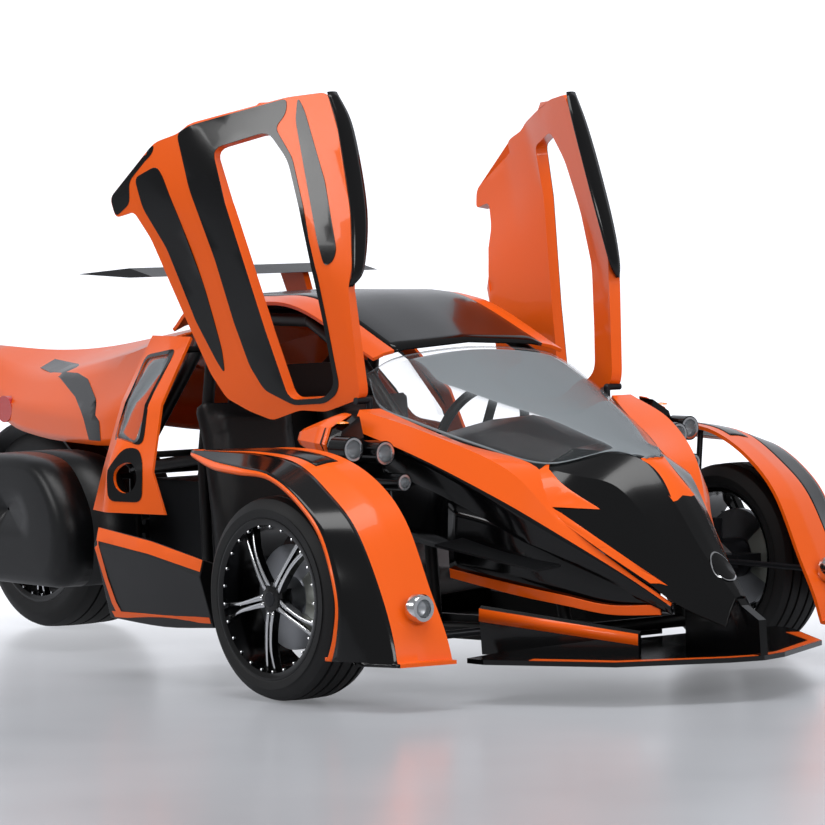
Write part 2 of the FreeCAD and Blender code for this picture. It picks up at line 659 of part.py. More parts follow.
# Suspension arms and dampers
low_joint, high_joint = knuckle_low - 25, knuckle_top + 23
LOWER = [[(266, -190, 168), (kingpin, -4, low_joint)], [(306, 190, 162), (kingpin, 4, low_joint)]]
UPPER = [[(308, -60, 520), (kingpin, -4, high_joint)], [(330, 130, 552), (kingpin, 4, high_joint)]]
links = tubes(LOWER + UPPER, size("light_tube"))
seat_gap = size("seat_gap")
pins = [rod((kingpin, 0, low_joint), (kingpin, 0, knuckle_low - seat_gap), 10),
        rod((kingpin, 0, knuckle_top + seat_gap), (kingpin, 0, high_joint), 10)]
damper = rod((560, 0, 162), (322, 20, 548), 24)
wishbone = links.multiFuse(pins + [damper]).cut(bare_frame)
fixed("wishbones", both([wishbone.Solids[0]]))

# Panniers: fixed inner halves and hinged lids
PANNIER = [(1500, 205), (1482, 430), (1600, 600), (1760, 628), (2000, 618), (2090, 470), (2040, 210)]
wall_p, gap_p = size("pannier_wall"), size("pannier_gap")
x_in, x_split, x_out = size("pannier_inner"), size("pannier_split"), size("pannier_outer")
CENTRE = (1780, 415)


def shrunk(outline, amount):
    """The outline pulled towards its middle by about the given amount."""
    moved = []
    for aft, z in outline:
        run, rise = CENTRE[0] - aft, CENTRE[1] - z
        length = math.hypot(run, rise)
        moved.append((aft + amount * run / length, z + amount * rise / length))
    return moved


case = slab(PANNIER, x_in, x_split - x_in - gap_p, "x").cut(
    slab(shrunk(PANNIER, wall_p * 1.3), x_in + wall_p, x_split - x_in, "x"))
lid = slab(PANNIER, x_split, x_out - x_split, "x").cut(
    slab(shrunk(PANNIER, wall_p * 1.3), x_split - 1, x_out - x_split - wall_p + 1, "x"))
fixed("pannier_boxes", both([case]))
for name, place in (("left", lambda shape: shape), ("right", mirrored)):
    fixed(f"pannier_lid_{name}", [place(lid)])

# Outriggers from the frame to the panels, pods, engine, tail and panniers that it carries
OUTRIGGERS = (
    # start (x, aft, height), end, radius
    ((215, 1660, 300), (x_in, 1660, 300), 10),
    ((215, 1660, 540), (x_in, 1660, 540), 10),
    ((325, 700, 152), (520, 700, 168), 10),
    ((328, 860, 152), (520, 860, 178), 10),
    ((185, 1400, 207), (268, 1400, 207), 14),
    ((330, 1140, 640), (730, 1140, 640), 10),
    ((322, 1093, 960), (470, 1098, 960), 10),
    ((215, 1660, 560), (402, 1640, 690), 10),
    ((325, 600, 1052), (325, 600, 1104), 8),
    ((320, 1080, 1058), (320, 1080, 1106), 8),
    ((225, -380, 420), (236, -380, 650), 8),
    ((235, 60, 560), (235, 185, 556), 10),
    ((330, 60, 552), (445, 60, 536), 8),
)
arms = both([rod(*outrigger) for outrigger in OUTRIGGERS])
carried = both([pod, quarter, flank]) + [tail, roof, hood, engine, column]
arms = [arm.cut(carried + [bare_frame]) for arm in arms]
arms = [max(arm.Solids, key=lambda solid: solid.Volume) for arm in arms]
fixed("frame_brackets", arms)

doc.recompute()
for piece in subparts:
    state = [flag for flag in piece.State if flag in ("Invalid", "Error")]
    if state or piece.Shape.isNull() or not piece.Shape.isValid():
        raise RuntimeError(f"{piece.Label} failed: {piece.State}")
for piece in subparts:
    piece.Shape.exportStep(f"parts/{piece.Label}.step")
    print(piece.Label, len(piece.Shape.Solids), round(piece.Shape.Volume / 1e6, 3))
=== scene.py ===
import bmesh
import bpy
import json
import math
import numpy as np
from mathutils import Matrix, Vector
from mathutils.bvhtree import BVHTree
from mathutils.geometry import delaunay_2d_cdt


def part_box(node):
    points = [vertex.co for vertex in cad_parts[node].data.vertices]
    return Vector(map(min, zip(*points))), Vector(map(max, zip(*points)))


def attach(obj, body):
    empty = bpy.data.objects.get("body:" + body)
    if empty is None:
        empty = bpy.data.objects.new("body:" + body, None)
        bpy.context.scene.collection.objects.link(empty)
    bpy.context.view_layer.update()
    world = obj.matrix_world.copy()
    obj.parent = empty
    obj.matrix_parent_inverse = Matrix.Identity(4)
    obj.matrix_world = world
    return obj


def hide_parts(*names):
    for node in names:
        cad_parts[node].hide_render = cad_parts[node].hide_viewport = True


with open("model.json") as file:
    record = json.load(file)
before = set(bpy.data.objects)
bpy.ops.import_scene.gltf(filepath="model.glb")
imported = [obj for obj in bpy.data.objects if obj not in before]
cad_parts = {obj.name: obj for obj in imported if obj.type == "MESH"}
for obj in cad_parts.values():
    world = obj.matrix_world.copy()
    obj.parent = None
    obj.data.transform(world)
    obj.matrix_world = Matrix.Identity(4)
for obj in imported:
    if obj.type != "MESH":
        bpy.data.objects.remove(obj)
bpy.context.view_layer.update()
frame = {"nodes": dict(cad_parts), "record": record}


# Driving dimensions, in metres. Pieces are drawn from the front axle as (x, aft, height).
LOW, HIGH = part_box("tyre_front_left")
AXLE_Y = (LOW.y + HIGH.y) / 2
FRONT_RADIUS = HIGH.z / 2
FRONT_WHEEL_X = (LOW.x + HIGH.x) / 2
FRONT_TYRE_WIDTH = HIGH.x - LOW.x
REAR_LOW, REAR_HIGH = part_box("tyre_rear")
REAR_AFT = (REAR_LOW.y + REAR_HIGH.y) / 2 - AXLE_Y
REAR_RADIUS = REAR_HIGH.z / 2
REAR_TYRE_WIDTH = REAR_HIGH.x - REAR_LOW.x
SIDES = (("left", 1), ("right", -1))

# Materials: painted, moulded, rubber, glass and metal finishes.
# Each is a principled surface whose roughness wanders with a noise, some with a fine bump for grain.
def colour(code):
    """A hex colour as linear red, green, blue and alpha."""
    parts = [int(code[k:k + 2], 16) / 255 for k in (1, 3, 5)]
    return [c / 12.92 if c <= 0.04045 else ((c + 0.055) / 1.055) ** 2.4 for c in parts] + [1]


def add(tree, kind, settings=None, links=None, **fields):
    """A node with its field values, its input constants and the outputs linked to it."""
    made = tree.nodes.new(kind)
    for field, value in fields.items():
        setattr(made, field, value)
    for socket, value in (settings or {}).items():
        made.inputs[socket].default_value = value
    for socket, output in (links or {}).items():
        tree.links.new(output, made.inputs[socket])
    return made


def finish_of(name, base, rough, grain=0.0, scale=60.0, spread=0.04, depth=0.001, **settings):
    """A surface whose roughness wanders a little and whose grain is a fine bump."""
    material = bpy.data.materials.new(name)
    material.use_nodes = True
    tree = material.node_tree
    shader = tree.nodes["Principled BSDF"]
    shader.inputs["Base Color"].default_value = colour(base)
    for socket, value in settings.items():
        shader.inputs[socket.replace("_", " ")].default_value = value
    place = add(tree, "ShaderNodeTexCoord")
    noise = add(tree, "ShaderNodeTexNoise", {"Scale": 9.0, "Detail": 4.0},
                {"Vector": place.outputs["Object"]})
    wander = add(tree, "ShaderNodeMapRange", {"To Min": max(rough - spread, 0.01), "To Max": rough + spread},
                 {"Value": noise.outputs["Fac"]})
    tree.links.new(wander.outputs["Result"], shader.inputs["Roughness"])
    if grain:
        fine = add(tree, "ShaderNodeTexNoise", {"Scale": scale, "Detail": 3.0},
                   {"Vector": place.outputs["Object"]})
        bump = add(tree, "ShaderNodeBump", {"Strength": grain, "Distance": depth},
                   {"Height": fine.outputs["Fac"]})
        tree.links.new(bump.outputs["Normal"], shader.inputs["Normal"])
    return material


def clear_of(name, tint, rough, opacity):
    """Clear sheet: mostly see-through, with the shine of its faces."""
    material = bpy.data.materials.new(name)
    material.use_nodes = True
    tree = material.node_tree
    shader = tree.nodes["Principled BSDF"]
    output = tree.nodes["Material Output"]
    shader.inputs["Base Color"].default_value = colour(tint)
    shader.inputs["Roughness"].default_value = rough
    place = add(tree, "ShaderNodeTexCoord")
    haze = add(tree, "ShaderNodeTexNoise", {"Scale": 5.0}, {"Vector": place.outputs["Object"]})
    amount = add(tree, "ShaderNodeMapRange", {"To Min": opacity * 0.8, "To Max": opacity * 1.2},
                 {"Value": haze.outputs["Fac"]})
    through = add(tree, "ShaderNodeBsdfTransparent", {"Color": (1, 1, 1, 1)})
    edge = add(tree, "ShaderNodeFresnel", {"IOR": 1.12})
    total = add(tree, "ShaderNodeMath", None, {0: amount.outputs["Result"], 1: edge.outputs["Fac"]},
                operation="MAXIMUM")
    mix = add(tree, "ShaderNodeMixShader", None, {0: total.outputs["Value"], 1: through.outputs["BSDF"],
                                                   2: shader.outputs["BSDF"]})
    tree.links.new(mix.outputs["Shader"], output.inputs["Surface"])
    return material


ORANGE = finish_of("orange_paint", "#F4600E", 0.30, 0.05, 400, 0.03, 0.0003, Coat_Weight=0.25,
                   Coat_Roughness=0.03, Specular_IOR_Level=0.25)
BLACK = finish_of("gloss_black_paint", "#040405", 0.16, 0.03, 400, 0.03, 0.0002, Coat_Weight=0.15,
                  Coat_Roughness=0.02, Specular_IOR_Level=0.35)
SATIN = finish_of("satin_black", "#0A0A0B", 0.42, 0.12, 300, Specular_IOR_Level=0.4)
MOULDED = finish_of("moulded_black", "#0C0D0F", 0.36, 0.35, 520, 0.05, 0.0006, Specular_IOR_Level=0.4)
RUBBER = finish_of("tyre_rubber", "#0A0A0B", 0.62, 0.3, 260, 0.08, 0.0006)
VINYL = finish_of("seat_vinyl", "#0E0E10", 0.46, 0.5, 700, 0.06, 0.0006)
LEATHER = finish_of("grip_leather", "#0C0C0C", 0.5, 0.5, 800, 0.05, 0.0005)
BRIGHT = finish_of("bright_metal", "#D9DADC", 0.16, 0.0, 60, 0.04, 0.001, Metallic=1.0)
STEEL = finish_of("ground_steel", "#9A9CA0", 0.34, 0.2, 500, 0.05, 0.0003, Metallic=1.0)
DARK_STEEL = finish_of("dark_steel", "#25262A", 0.4, 0.1, 300, 0.05, 0.0003, Metallic=0.6)
CALIPER = finish_of("anodised_silver", "#C4C7BE", 0.3, 0.1, 300, 0.05, 0.0003, Metallic=0.8)
ALLOY = finish_of("cast_alloy", "#303134", 0.5, 0.5, 300, 0.06, 0.0008, Metallic=0.8)
SCREEN = clear_of("clear_screen", "#8C9296", 0.03, 0.05)
LENS = clear_of("lamp_lens", "#DCE4E8", 0.02, 0.12)
AMBER = finish_of("amber_lens", "#FF8A00", 0.12, 0.2, 160, 0.03, 0.0008, Coat_Weight=1.0)
RED = finish_of("red_lens", "#C01008", 0.12, 0.2, 160, 0.03, 0.0008, Coat_Weight=1.0)

FINISHES = {
    "tyre": RUBBER, "rim_black": BLACK, "disc_steel": STEEL, "cast_steel": DARK_STEEL,
    "caliper_silver": CALIPER, "gloss_black": BLACK, "lamp_glass": LENS, "frame_paint": SATIN,
    "satin_black": SATIN, "engine_alloy": ALLOY, "clear_glass": SCREEN, "orange_paint": ORANGE,
    "lamp_red": RED, "lamp_amber": AMBER, "moulded_black": MOULDED, "black_steel": DARK_STEEL,
    "seat_vinyl": VINYL, "grip_leather": LEATHER,
}
for part in frame["record"]["subparts"]:
    node = frame["nodes"][part["node"]]
    node.data.materials.clear()
    node.data.materials.append(FINISHES[part["material_slot"]])


# Shared ways of making a piece: rows of points as a grid, flat outlines laid on a curved surface,
# and profiles turned about an axis. Every piece is drawn in the frame with its faces outward.
def shown(name, corners, faces, material, wall=0.0, bevel=0.0, crease=32, inside=None):
    """A mesh in the frame with outward faces; an open one is turned away from the inside point."""
    mesh = bpy.data.meshes.new(name)
    mesh.from_pydata([(x, AXLE_Y + aft, z) for x, aft, z in corners], [], faces)
    work = bmesh.new()
    work.from_mesh(mesh)
    bmesh.ops.remove_doubles(work, verts=work.verts, dist=0.00005)
    bmesh.ops.recalc_face_normals(work, faces=work.faces)
    if inside is not None:
        centre = Vector((inside[0], AXLE_Y + inside[1], inside[2]))
        facing = sum(face.normal.dot(face.calc_center_median() - centre) * face.calc_area()
                     for face in work.faces)
        if facing < 0:
            bmesh.ops.reverse_faces(work, faces=work.faces)
    work.to_mesh(mesh)
    work.free()
    mesh.shade_smooth()
    mesh.set_sharp_from_angle(angle=math.radians(crease))
    mesh.materials.append(material)
    piece = bpy.data.objects.new(name, mesh)
    bpy.context.scene.collection.objects.link(piece)
    if wall:
        solid = piece.modifiers.new("wall", "SOLIDIFY")
        solid.thickness = wall
        solid.offset = -1
    if bevel:
        rounding = piece.modifiers.new("edges", "BEVEL")
        rounding.width = bevel
        rounding.segments = 2
        rounding.limit_method = "ANGLE"
        rounding.angle_limit = math.radians(40)
        rounding.harden_normals = True
    return piece


def grid(name, points, material, around=False, capped=False, **options):
    """A mesh of quads over rows of points; each row may be closed and the ends capped."""
    points = np.asarray(points, float)
    rows, columns = points.shape[:2]
    index = np.arange(rows * columns).reshape(rows, columns)
    ring = np.hstack([index, index[:, :1]]) if around else index
    quads = np.stack([ring[:-1, :-1], ring[:-1, 1:], ring[1:, 1:], ring[1:, :-1]], -1).reshape(-1, 4)
    faces = quads.tolist()
    if capped:
        faces += [index[0][::-1].tolist(), index[-1].tolist()]
    return shown(name, points.reshape(-1, 3).tolist(), faces, material, **options)


def spline(rows, steps):
    """Smooth curves through the rows, each gap cut into the given number of steps."""
    rows = np.asarray(rows, float)
    padded = np.concatenate([2 * rows[:1] - rows[1:2], rows, 2 * rows[-1:] - rows[-2:-1]])
    result = []
    for a, b, c, d in zip(padded, padded[1:], padded[2:], padded[3:]):
        for t in np.arange(steps) / steps:
            result.append(0.5 * (2 * b + (c - a) * t + (2 * a - 5 * b + 4 * c - d) * t * t
                                 + (3 * b - a - 3 * c + d) * t ** 3))
    return np.array(result + [rows[-1]])


def finer(rows, steps):
    """Straight lines between the points of each row, each cut into the given number of steps."""
    rows = np.asarray(rows, float)
    parts = [rows[:, :-1] + (rows[:, 1:] - rows[:, :-1]) * t for t in np.arange(steps) / steps]
    mixed = np.stack(parts, 2).reshape(rows.shape[0], -1, 3)
    return np.concatenate([mixed, rows[:, -1:]], 1)


def stations(table, side=1):
    """Rows of (x, aft, height) from a table of (aft, [(x, height), ...])."""
    return np.array([[(side * x, aft, z) for x, z in line] for aft, line in table], float)


def whole(table):
    """Rows over the middle from a table that gives the left half, edge to ridge."""
    half = stations(table)
    other = half[:, -2::-1] * (-1, 1, 1)
    return np.concatenate([half, other], 1)


def rounded(outline, radius, steps=5):
    """A closed outline with its corners rounded."""
    corners = np.asarray(outline, float)
    result = []
    for before, corner, after in zip(np.roll(corners, 1, 0), corners, np.roll(corners, -1, 0)):
        back, ahead = before - corner, after - corner
        reach_back = min(radius, np.linalg.norm(back) * 0.45) / np.linalg.norm(back)
        reach_ahead = min(radius, np.linalg.norm(ahead) * 0.45) / np.linalg.norm(ahead)
        start, end = corner + back * reach_back, corner + ahead * reach_ahead
        for t in np.linspace(0, 1, steps):
            result.append((1 - t) ** 2 * start + 2 * t * (1 - t) * corner + t * t * end)
    return np.array(result)


def within(points, outline):
    """Which flat points lie inside a closed outline."""
    result = np.zeros(len(points), bool)
    for (ax, ay), (bx, by) in zip(outline, np.roll(outline, -1, 0)):
        crosses = (ay > points[:, 1]) != (by > points[:, 1])
        at_x = ax + (points[:, 1] - ay) * (bx - ax) / (by - ay if by != ay else 1e-12)
        result ^= crosses & (points[:, 0] < at_x)
    return result


def sheet_of(name, outline, surface, material, holes=(), step=0.03, **options):
    """A curved sheet: a flat outline with holes, filled evenly and laid on surface(a, b)."""
    loops = [np.asarray(outline, float)] + [np.asarray(hole, float) for hole in holes]
    low, high = loops[0].min(0), loops[0].max(0)
    lattice = np.stack(np.meshgrid(np.arange(low[0], high[0], step), np.arange(low[1], high[1], step)), -1)
    inner = lattice.reshape(-1, 2)
    kept = within(inner, loops[0])
    for loop in loops[1:]:
        kept &= ~within(inner, loop)
    edge = np.concatenate(loops)
    near = np.min(np.linalg.norm(inner[:, None] - edge[None], axis=2), axis=1) < step * 0.45
    flat = np.concatenate([edge, inner[kept & ~near]])
    borders, start = [], 0
    for loop in loops:
        borders += [(start + k, start + (k + 1) % len(loop)) for k in range(len(loop))]
        start += len(loop)
    made = delaunay_2d_cdt([Vector(p) for p in flat.tolist()], borders, [], 0, 1e-6)
    points = np.array([list(p) for p in made[0]])
    faces = np.array([face for face in made[2] if len(face) == 3])
    centres = points[faces].mean(1)
    kept = within(centres, loops[0])
    for loop in loops[1:]:
        kept &= ~within(centres, loop)
    corners = [surface(a, b) for a, b in points.tolist()]
    return shown(name, corners, faces[kept].tolist(), material, **options)


def lathe(name, profile, centre, material, steps=96, axis="x", **options):
    """A closed profile of (distance along the axis, radius) turned about an axis through a point."""
    turn = np.linspace(0, 2 * np.pi, steps, endpoint=False)
    rows = []
    for along, radius in profile:
        across, up = radius * np.cos(turn), radius * np.sin(turn)
        level = np.full(steps, along)
        order = {"x": (level, across, up), "y": (across, level, up), "z": (across, up, level)}[axis]
        rows.append(np.stack(order, -1) + centre)
    return grid(name, rows, material, around=True, **options)


# Tyres: low-profile road tyres, moulded in rubber with four grooves round the tread.
# Each is one profile turned about the axle and seated on its rim.
def tyre(name, node, centre, radius, width, rim_radius, body):
    half = width / 2
    groove = 0.006
    profile = [(-half + 0.012, rim_radius + 0.002), (-half + 0.002, rim_radius + 0.016),
               (-half + 0.0005, (rim_radius + radius) / 2 - 0.008), (-half, (rim_radius + radius) / 2),
               (-half + 0.003, radius - 0.040), (-half + 0.010, radius - 0.024),
               (-half + 0.020, radius - 0.010), (-half + 0.034, radius - 0.0045)]
    for middle in (-0.55, -0.2, 0.2, 0.55):
        at_x = half * middle
        crown = radius - 0.0005 - 0.004 * abs(middle)
        profile += [(at_x - 0.005, crown), (at_x - 0.004, crown - groove), (at_x + 0.004, crown - groove),
                    (at_x + 0.005, crown)]
    profile += [(-x, r) for x, r in profile[7::-1]]
    piece = lathe(name, profile + [profile[0]], centre, RUBBER, 128, crease=28)
    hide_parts(node)
    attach(piece, body)


for side_name, side in SIDES:
    tyre(f"tyre_{side_name}", f"tyre_front_{side_name}", (side * FRONT_WHEEL_X, 0, FRONT_RADIUS),
         FRONT_RADIUS, FRONT_TYRE_WIDTH, 0.218, f"front_{side_name}_wheel")
tyre("tyre_back", "tyre_rear", (0, REAR_AFT, REAR_RADIUS), REAR_RADIUS, REAR_TYRE_WIDTH, 0.232, "rear_wheel")

# Wheels: a black cast dish with five split spokes whose faces are machined bright, and studs round the lip.
# The dish, hub and cap are turned profiles; each spoke is a loft that tapers from the hub to the rim.
SPOKES, STUDS = 5, 25
FIRST_SPOKE = -85  # degrees
FACE_DROP, SPOKE_DEPTH, STUD_INSET = 0.014, 0.024, 0.012


def wheel(name, node, centre, radius, half, facing, body):
    centre = np.array(centre)
    face = facing * (half - FACE_DROP)
    dish = [(-half + 0.012, radius - 0.001), (half - 0.004, radius + 0.012), (half - 0.003, radius + 0.006),
            (half - 0.008, radius - 0.008), (half - 0.05, radius - 0.012), (-half + 0.02, radius - 0.012),
            (-half + 0.012, radius - 0.006)]
    barrel = lathe(f"{name}_barrel", [(facing * x, r) for x, r in dish + dish[:1]], centre, BLACK, 96)
    hub = lathe(f"{name}_hub", [(face - facing * x, r) for x, r in (
        (0.072, 0.021), (0.072, 0.046), (0.012, 0.052), (0.002, 0.040), (0.0, 0.021), (0.072, 0.021))],
        centre, BLACK, 5, crease=20)
    cap = lathe(f"{name}_cap", [(face - facing * x, r) for x, r in (
        (0.004, 0.024), (-0.002, 0.020), (-0.003, 0.001), (0.03, 0.001), (0.03, 0.024), (0.004, 0.024))],
        centre, DARK_STEEL, 40)
    pieces = [barrel, hub, cap]
    blades = []
    lift = np.array([facing, 0, 0])
    for k in range(SPOKES):
        turn = math.radians(FIRST_SPOKE + 360 / SPOKES * k)
        out = np.array([0, math.cos(turn), math.sin(turn)])
        across = np.array([0, -math.sin(turn), math.cos(turn)])
        for lean in (1, -1):
            rows = []
            for reach, gap, wide, drop in ((0.034, 0.003, 0.015, 0.004), (0.09, 0.0035, 0.012, 0.0),
                                           (0.15, 0.005, 0.011, 0.003),
                                           (radius - 0.009, 0.012, 0.012, 0.014)):
                middle = centre + out * reach + np.array([face, 0, 0]) - lift * drop
                inner, outer = across * lean * gap, across * lean * (gap + wide)
                deep = lift * SPOKE_DEPTH
                rows.append([middle + inner, middle + outer, middle + outer - deep, middle + inner - deep])
            blades.append(spline(rows, 4))
    for k, rows in enumerate(blades):
        pieces.append(grid(f"{name}_spoke_{k}", rows, BLACK, around=True, capped=True, bevel=0.0012))
        strip = grid(f"{name}_bright_{k}", rows[:, :2] + lift * 0.0006, BRIGHT, wall=0.001,
                     inside=tuple(centre - lift))
        pieces.append(strip)
    for k in range(STUDS):
        turn = 2 * math.pi * (k + 0.5) / STUDS
        spot = centre + np.array([facing * (half - 0.011), (radius - STUD_INSET) * math.cos(turn),
                                  (radius - STUD_INSET) * math.sin(turn)])
        pieces.append(lathe(f"{name}_stud_{k}", [(facing * x, r) for x, r in (
            (-0.004, 0.0001), (-0.004, 0.0045), (0.003, 0.004), (0.005, 0.0001))], spot, BRIGHT, 8))
    for piece in pieces:
        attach(piece, body)
    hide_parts(node)


for side_name, side in SIDES:
    wheel(f"wheel_{side_name}", f"rim_front_{side_name}", (side * FRONT_WHEEL_X, 0, FRONT_RADIUS), 0.218,
          FRONT_TYRE_WIDTH / 2, side, f"front_{side_name}_wheel")
wheel("wheel_back", "rim_rear", (0, REAR_AFT, REAR_RADIUS), 0.232, REAR_TYRE_WIDTH / 2, -1, "rear_wheel")

# Front fenders: moulded shells carried by the knuckles, so they turn with the front wheels.
# One table of sections gives the orange front, the black side, the orange lip and the dark top insert.
# angle up from straight ahead, then (x, radius) at the lip, crease, crown and inner edge
FENDER = (
    (-32, (0.985, 0.324), (0.900, 0.590), (0.800, 0.608), (0.720, 0.622)),
    (-15, (0.985, 0.322), (0.890, 0.486), (0.800, 0.506), (0.720, 0.520)),
    (5, (0.985, 0.322), (0.880, 0.398), (0.800, 0.412), (0.720, 0.418)),
    (35, (0.985, 0.324), (0.880, 0.358), (0.800, 0.376), (0.720, 0.386)),
    (60, (0.985, 0.328), (0.880, 0.350), (0.800, 0.372), (0.722, 0.382)),
    (85, (0.985, 0.350), (0.880, 0.382), (0.804, 0.394), (0.736, 0.398)),
    (108, (0.985, 0.376), (0.890, 0.424), (0.820, 0.434), (0.762, 0.436)),
    (126, (0.962, 0.452), (0.900, 0.500), (0.850, 0.506), (0.806, 0.500)),
    (137, (0.918, 0.575), (0.903, 0.592), (0.894, 0.594), (0.886, 0.590)),
)
FENDER_LOW = 0.138


def fender_rows():
    """Points over the fender, angle by angle, four to a section."""
    rows = []
    for angle, *section in FENDER:
        turn = math.radians(angle)
        rows.append([(x, -r * math.cos(turn), FRONT_RADIUS + r * math.sin(turn)) for x, r in section])
    rows = spline(rows, 8)
    rows[..., 0] = np.minimum(rows[..., 0], FENDER[0][1][0])
    return rows


def fender_strip(rows, start, end, count=9):
    """The part of the shell between two places across the section: 0 lip, 1 crease, 2 crown, 3 inner edge."""
    result = []
    for k, row in enumerate(rows):
        part = k / (len(rows) - 1)
        places = np.linspace(start(part), end(part), count)
        result.append(np.stack([np.interp(places, (0, 1, 2, 3), row[:, axis]) for axis in range(3)], -1))
    result = np.array(result)
    result[..., 2] = np.maximum(result[..., 2], FENDER_LOW)
    return result


ROWS = fender_rows()
LAST = len(ROWS) - 1


def lip_edge(part):
    return 0.06 + 0.40 * max(part - 0.62, 0) / 0.38


for side_name, side in SIDES:
    flip = np.array([side, 1, 1])
    body = f"{side_name}_knuckle"
    inside = (side * 0.86, 0, FRONT_RADIUS)
    shell = grid(f"fender_front_{side_name}", fender_strip(ROWS, lambda p: 1.0, lambda p: 3.0, 15) * flip,
                 ORANGE, wall=0.011, inside=inside, bevel=0.002, crease=50)
    cheek = grid(f"fender_side_{side_name}", fender_strip(ROWS, lip_edge, lambda p: 1.0, 9) * flip,
                 BLACK, wall=0.011, inside=inside, crease=50)
    lip = grid(f"fender_lip_{side_name}", fender_strip(ROWS, lambda p: 0.0, lip_edge, 5) * flip,
               ORANGE, wall=0.011, inside=inside, crease=50)
    top = fender_strip(ROWS[int(LAST * 0.60):int(LAST * 0.97)], lambda p: 1.45 - 0.3 * p,
                       lambda p: 2.5 - 0.7 * p, 9)
    top = top * flip + (0, 0, 0.0015)
    insert = grid(f"fender_insert_{side_name}", top, BLACK, wall=0.003, inside=inside, crease=50)
    for piece in (shell, cheek, lip, insert):
        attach(piece, body)
    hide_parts(f"fender_{side_name}")

# Fog lamps: a bright turned bezel round a reflector and a clear lens, pushed into each fender.
for side_name, side in SIDES:
    spot = (side * 0.800, -0.469, 0.283)
    bezel = lathe(f"fog_bezel_{side_name}", [(-0.017, 0.026), (-0.017, 0.036), (-0.010, 0.040),
                                             (0.016, 0.040), (0.016, 0.026), (-0.017, 0.026)],
                  spot, BRIGHT, 48, axis="y")
    bowl = lathe(f"fog_bowl_{side_name}", [(-0.012, 0.027), (0.002, 0.022), (0.010, 0.006), (0.010, 0.0005)],
                 spot, STEEL, 32, axis="y")
    lens = lathe(f"fog_lens_{side_name}", [(-0.012, 0.027), (-0.015, 0.018), (-0.016, 0.0005)],
                 spot, LENS, 32, axis="y")
    for piece in (bezel, bowl, lens):
        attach(piece, f"{side_name}_knuckle")
    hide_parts(f"fog_lamp_{side_name}")

# Scissor doors: moulded leaves with an open window, drawn closed in side view and swung up about the hinge.
# The leaf is orange; the window surround, slot, vent, tip and roof edge are glossy black panels on it.
HINGE_AFT, HINGE_HEIGHT, OPEN = 0.150, 0.830, math.radians(60)
DOOR_OUTLINE = ((0.150, 0.840), (0.172, 0.860), (0.440, 0.989), (0.486, 1.026), (0.641, 1.087),
                (0.878, 1.142), (1.004, 1.152), (1.055, 1.040), (1.098, 0.896), (1.137, 0.758),
                (1.132, 0.708), (1.152, 0.626), (1.109, 0.369), (1.051, 0.348), (1.030, 0.424),
                (0.941, 0.422), (0.803, 0.382), (0.655, 0.356), (0.514, 0.342), (0.417, 0.362),
                (0.338, 0.424), (0.271, 0.490), (0.240, 0.610), (0.185, 0.700))
DOOR_WINDOW = ((1.033, 0.786), (0.992, 0.951), (0.878, 0.975), (0.722, 0.952), (0.516, 0.900), (0.377, 0.847),
               (0.228, 0.784), (0.218, 0.724), (0.282, 0.595), (0.523, 0.649), (0.841, 0.733))
DOOR_PANELS = (
    ("surround", ((1.134, 0.705), (1.130, 0.758), (1.093, 0.896), (1.052, 1.040), (1.010, 1.020),
                  (0.990, 0.975), (0.878, 0.990), (0.722, 0.966), (0.512, 0.914), (0.372, 0.860),
                  (0.222, 0.800), (0.203, 0.770), (0.205, 0.715), (0.262, 0.600), (0.354, 0.526),
                  (0.444, 0.517), (0.570, 0.537), (0.760, 0.596), (0.969, 0.651))),
    ("slot", ((1.039, 1.070), (0.989, 1.074), (0.763, 1.054), (0.554, 1.008), (0.528, 0.982), (0.531, 0.955),
              (0.611, 0.968), (0.823, 1.010), (0.976, 1.039))),
    ("vent", ((1.104, 0.496), (1.090, 0.590), (1.053, 0.592), (0.934, 0.565), (0.713, 0.498), (0.541, 0.436),
              (0.478, 0.401), (0.531, 0.392), (0.667, 0.396), (0.894, 0.454), (1.021, 0.464))),
    ("tip", ((1.150, 0.620), (1.108, 0.372), (1.053, 0.351), (1.055, 0.426), (1.108, 0.470), (1.128, 0.600))),
)
# aft, then the distance of the outer face from the middle at each of the heights
DOOR_HEIGHTS = (0.320, 0.560, 0.750, 0.960, 1.220)
DOOR_FACE = (
    (0.090, (0.505, 0.505, 0.505, 0.500, 0.480)),
    (0.370, (0.570, 0.570, 0.560, 0.531, 0.457)),
    (0.560, (0.595, 0.597, 0.595, 0.560, 0.445)),
    (0.800, (0.650, 0.645, 0.634, 0.568, 0.456)),
    (1.000, (0.722, 0.705, 0.668, 0.572, 0.456)),
    (1.180, (0.770, 0.745, 0.692, 0.580, 0.450)),
)
DOOR_SURFACE = spline([[(aft, z, x) for z, x in zip(DOOR_HEIGHTS, sides)] for aft, sides in DOOR_FACE], 8)
DOOR_WALL = 0.037
SWING = Matrix.Translation((0, AXLE_Y + HINGE_AFT, HINGE_HEIGHT)) @ Matrix.Rotation(OPEN, 4, "X") @ \
    Matrix.Translation((0, -AXLE_Y - HINGE_AFT, -HINGE_HEIGHT))


def door_x(aft, height):
    """Distance of the door's outer face from the middle, at a place on its side view."""
    afts = DOOR_SURFACE[:, 0, 0]
    sides = [np.interp(aft, afts, DOOR_SURFACE[:, k, 2]) for k in range(len(DOOR_HEIGHTS))]
    return float(np.interp(height, DOOR_HEIGHTS, sides))


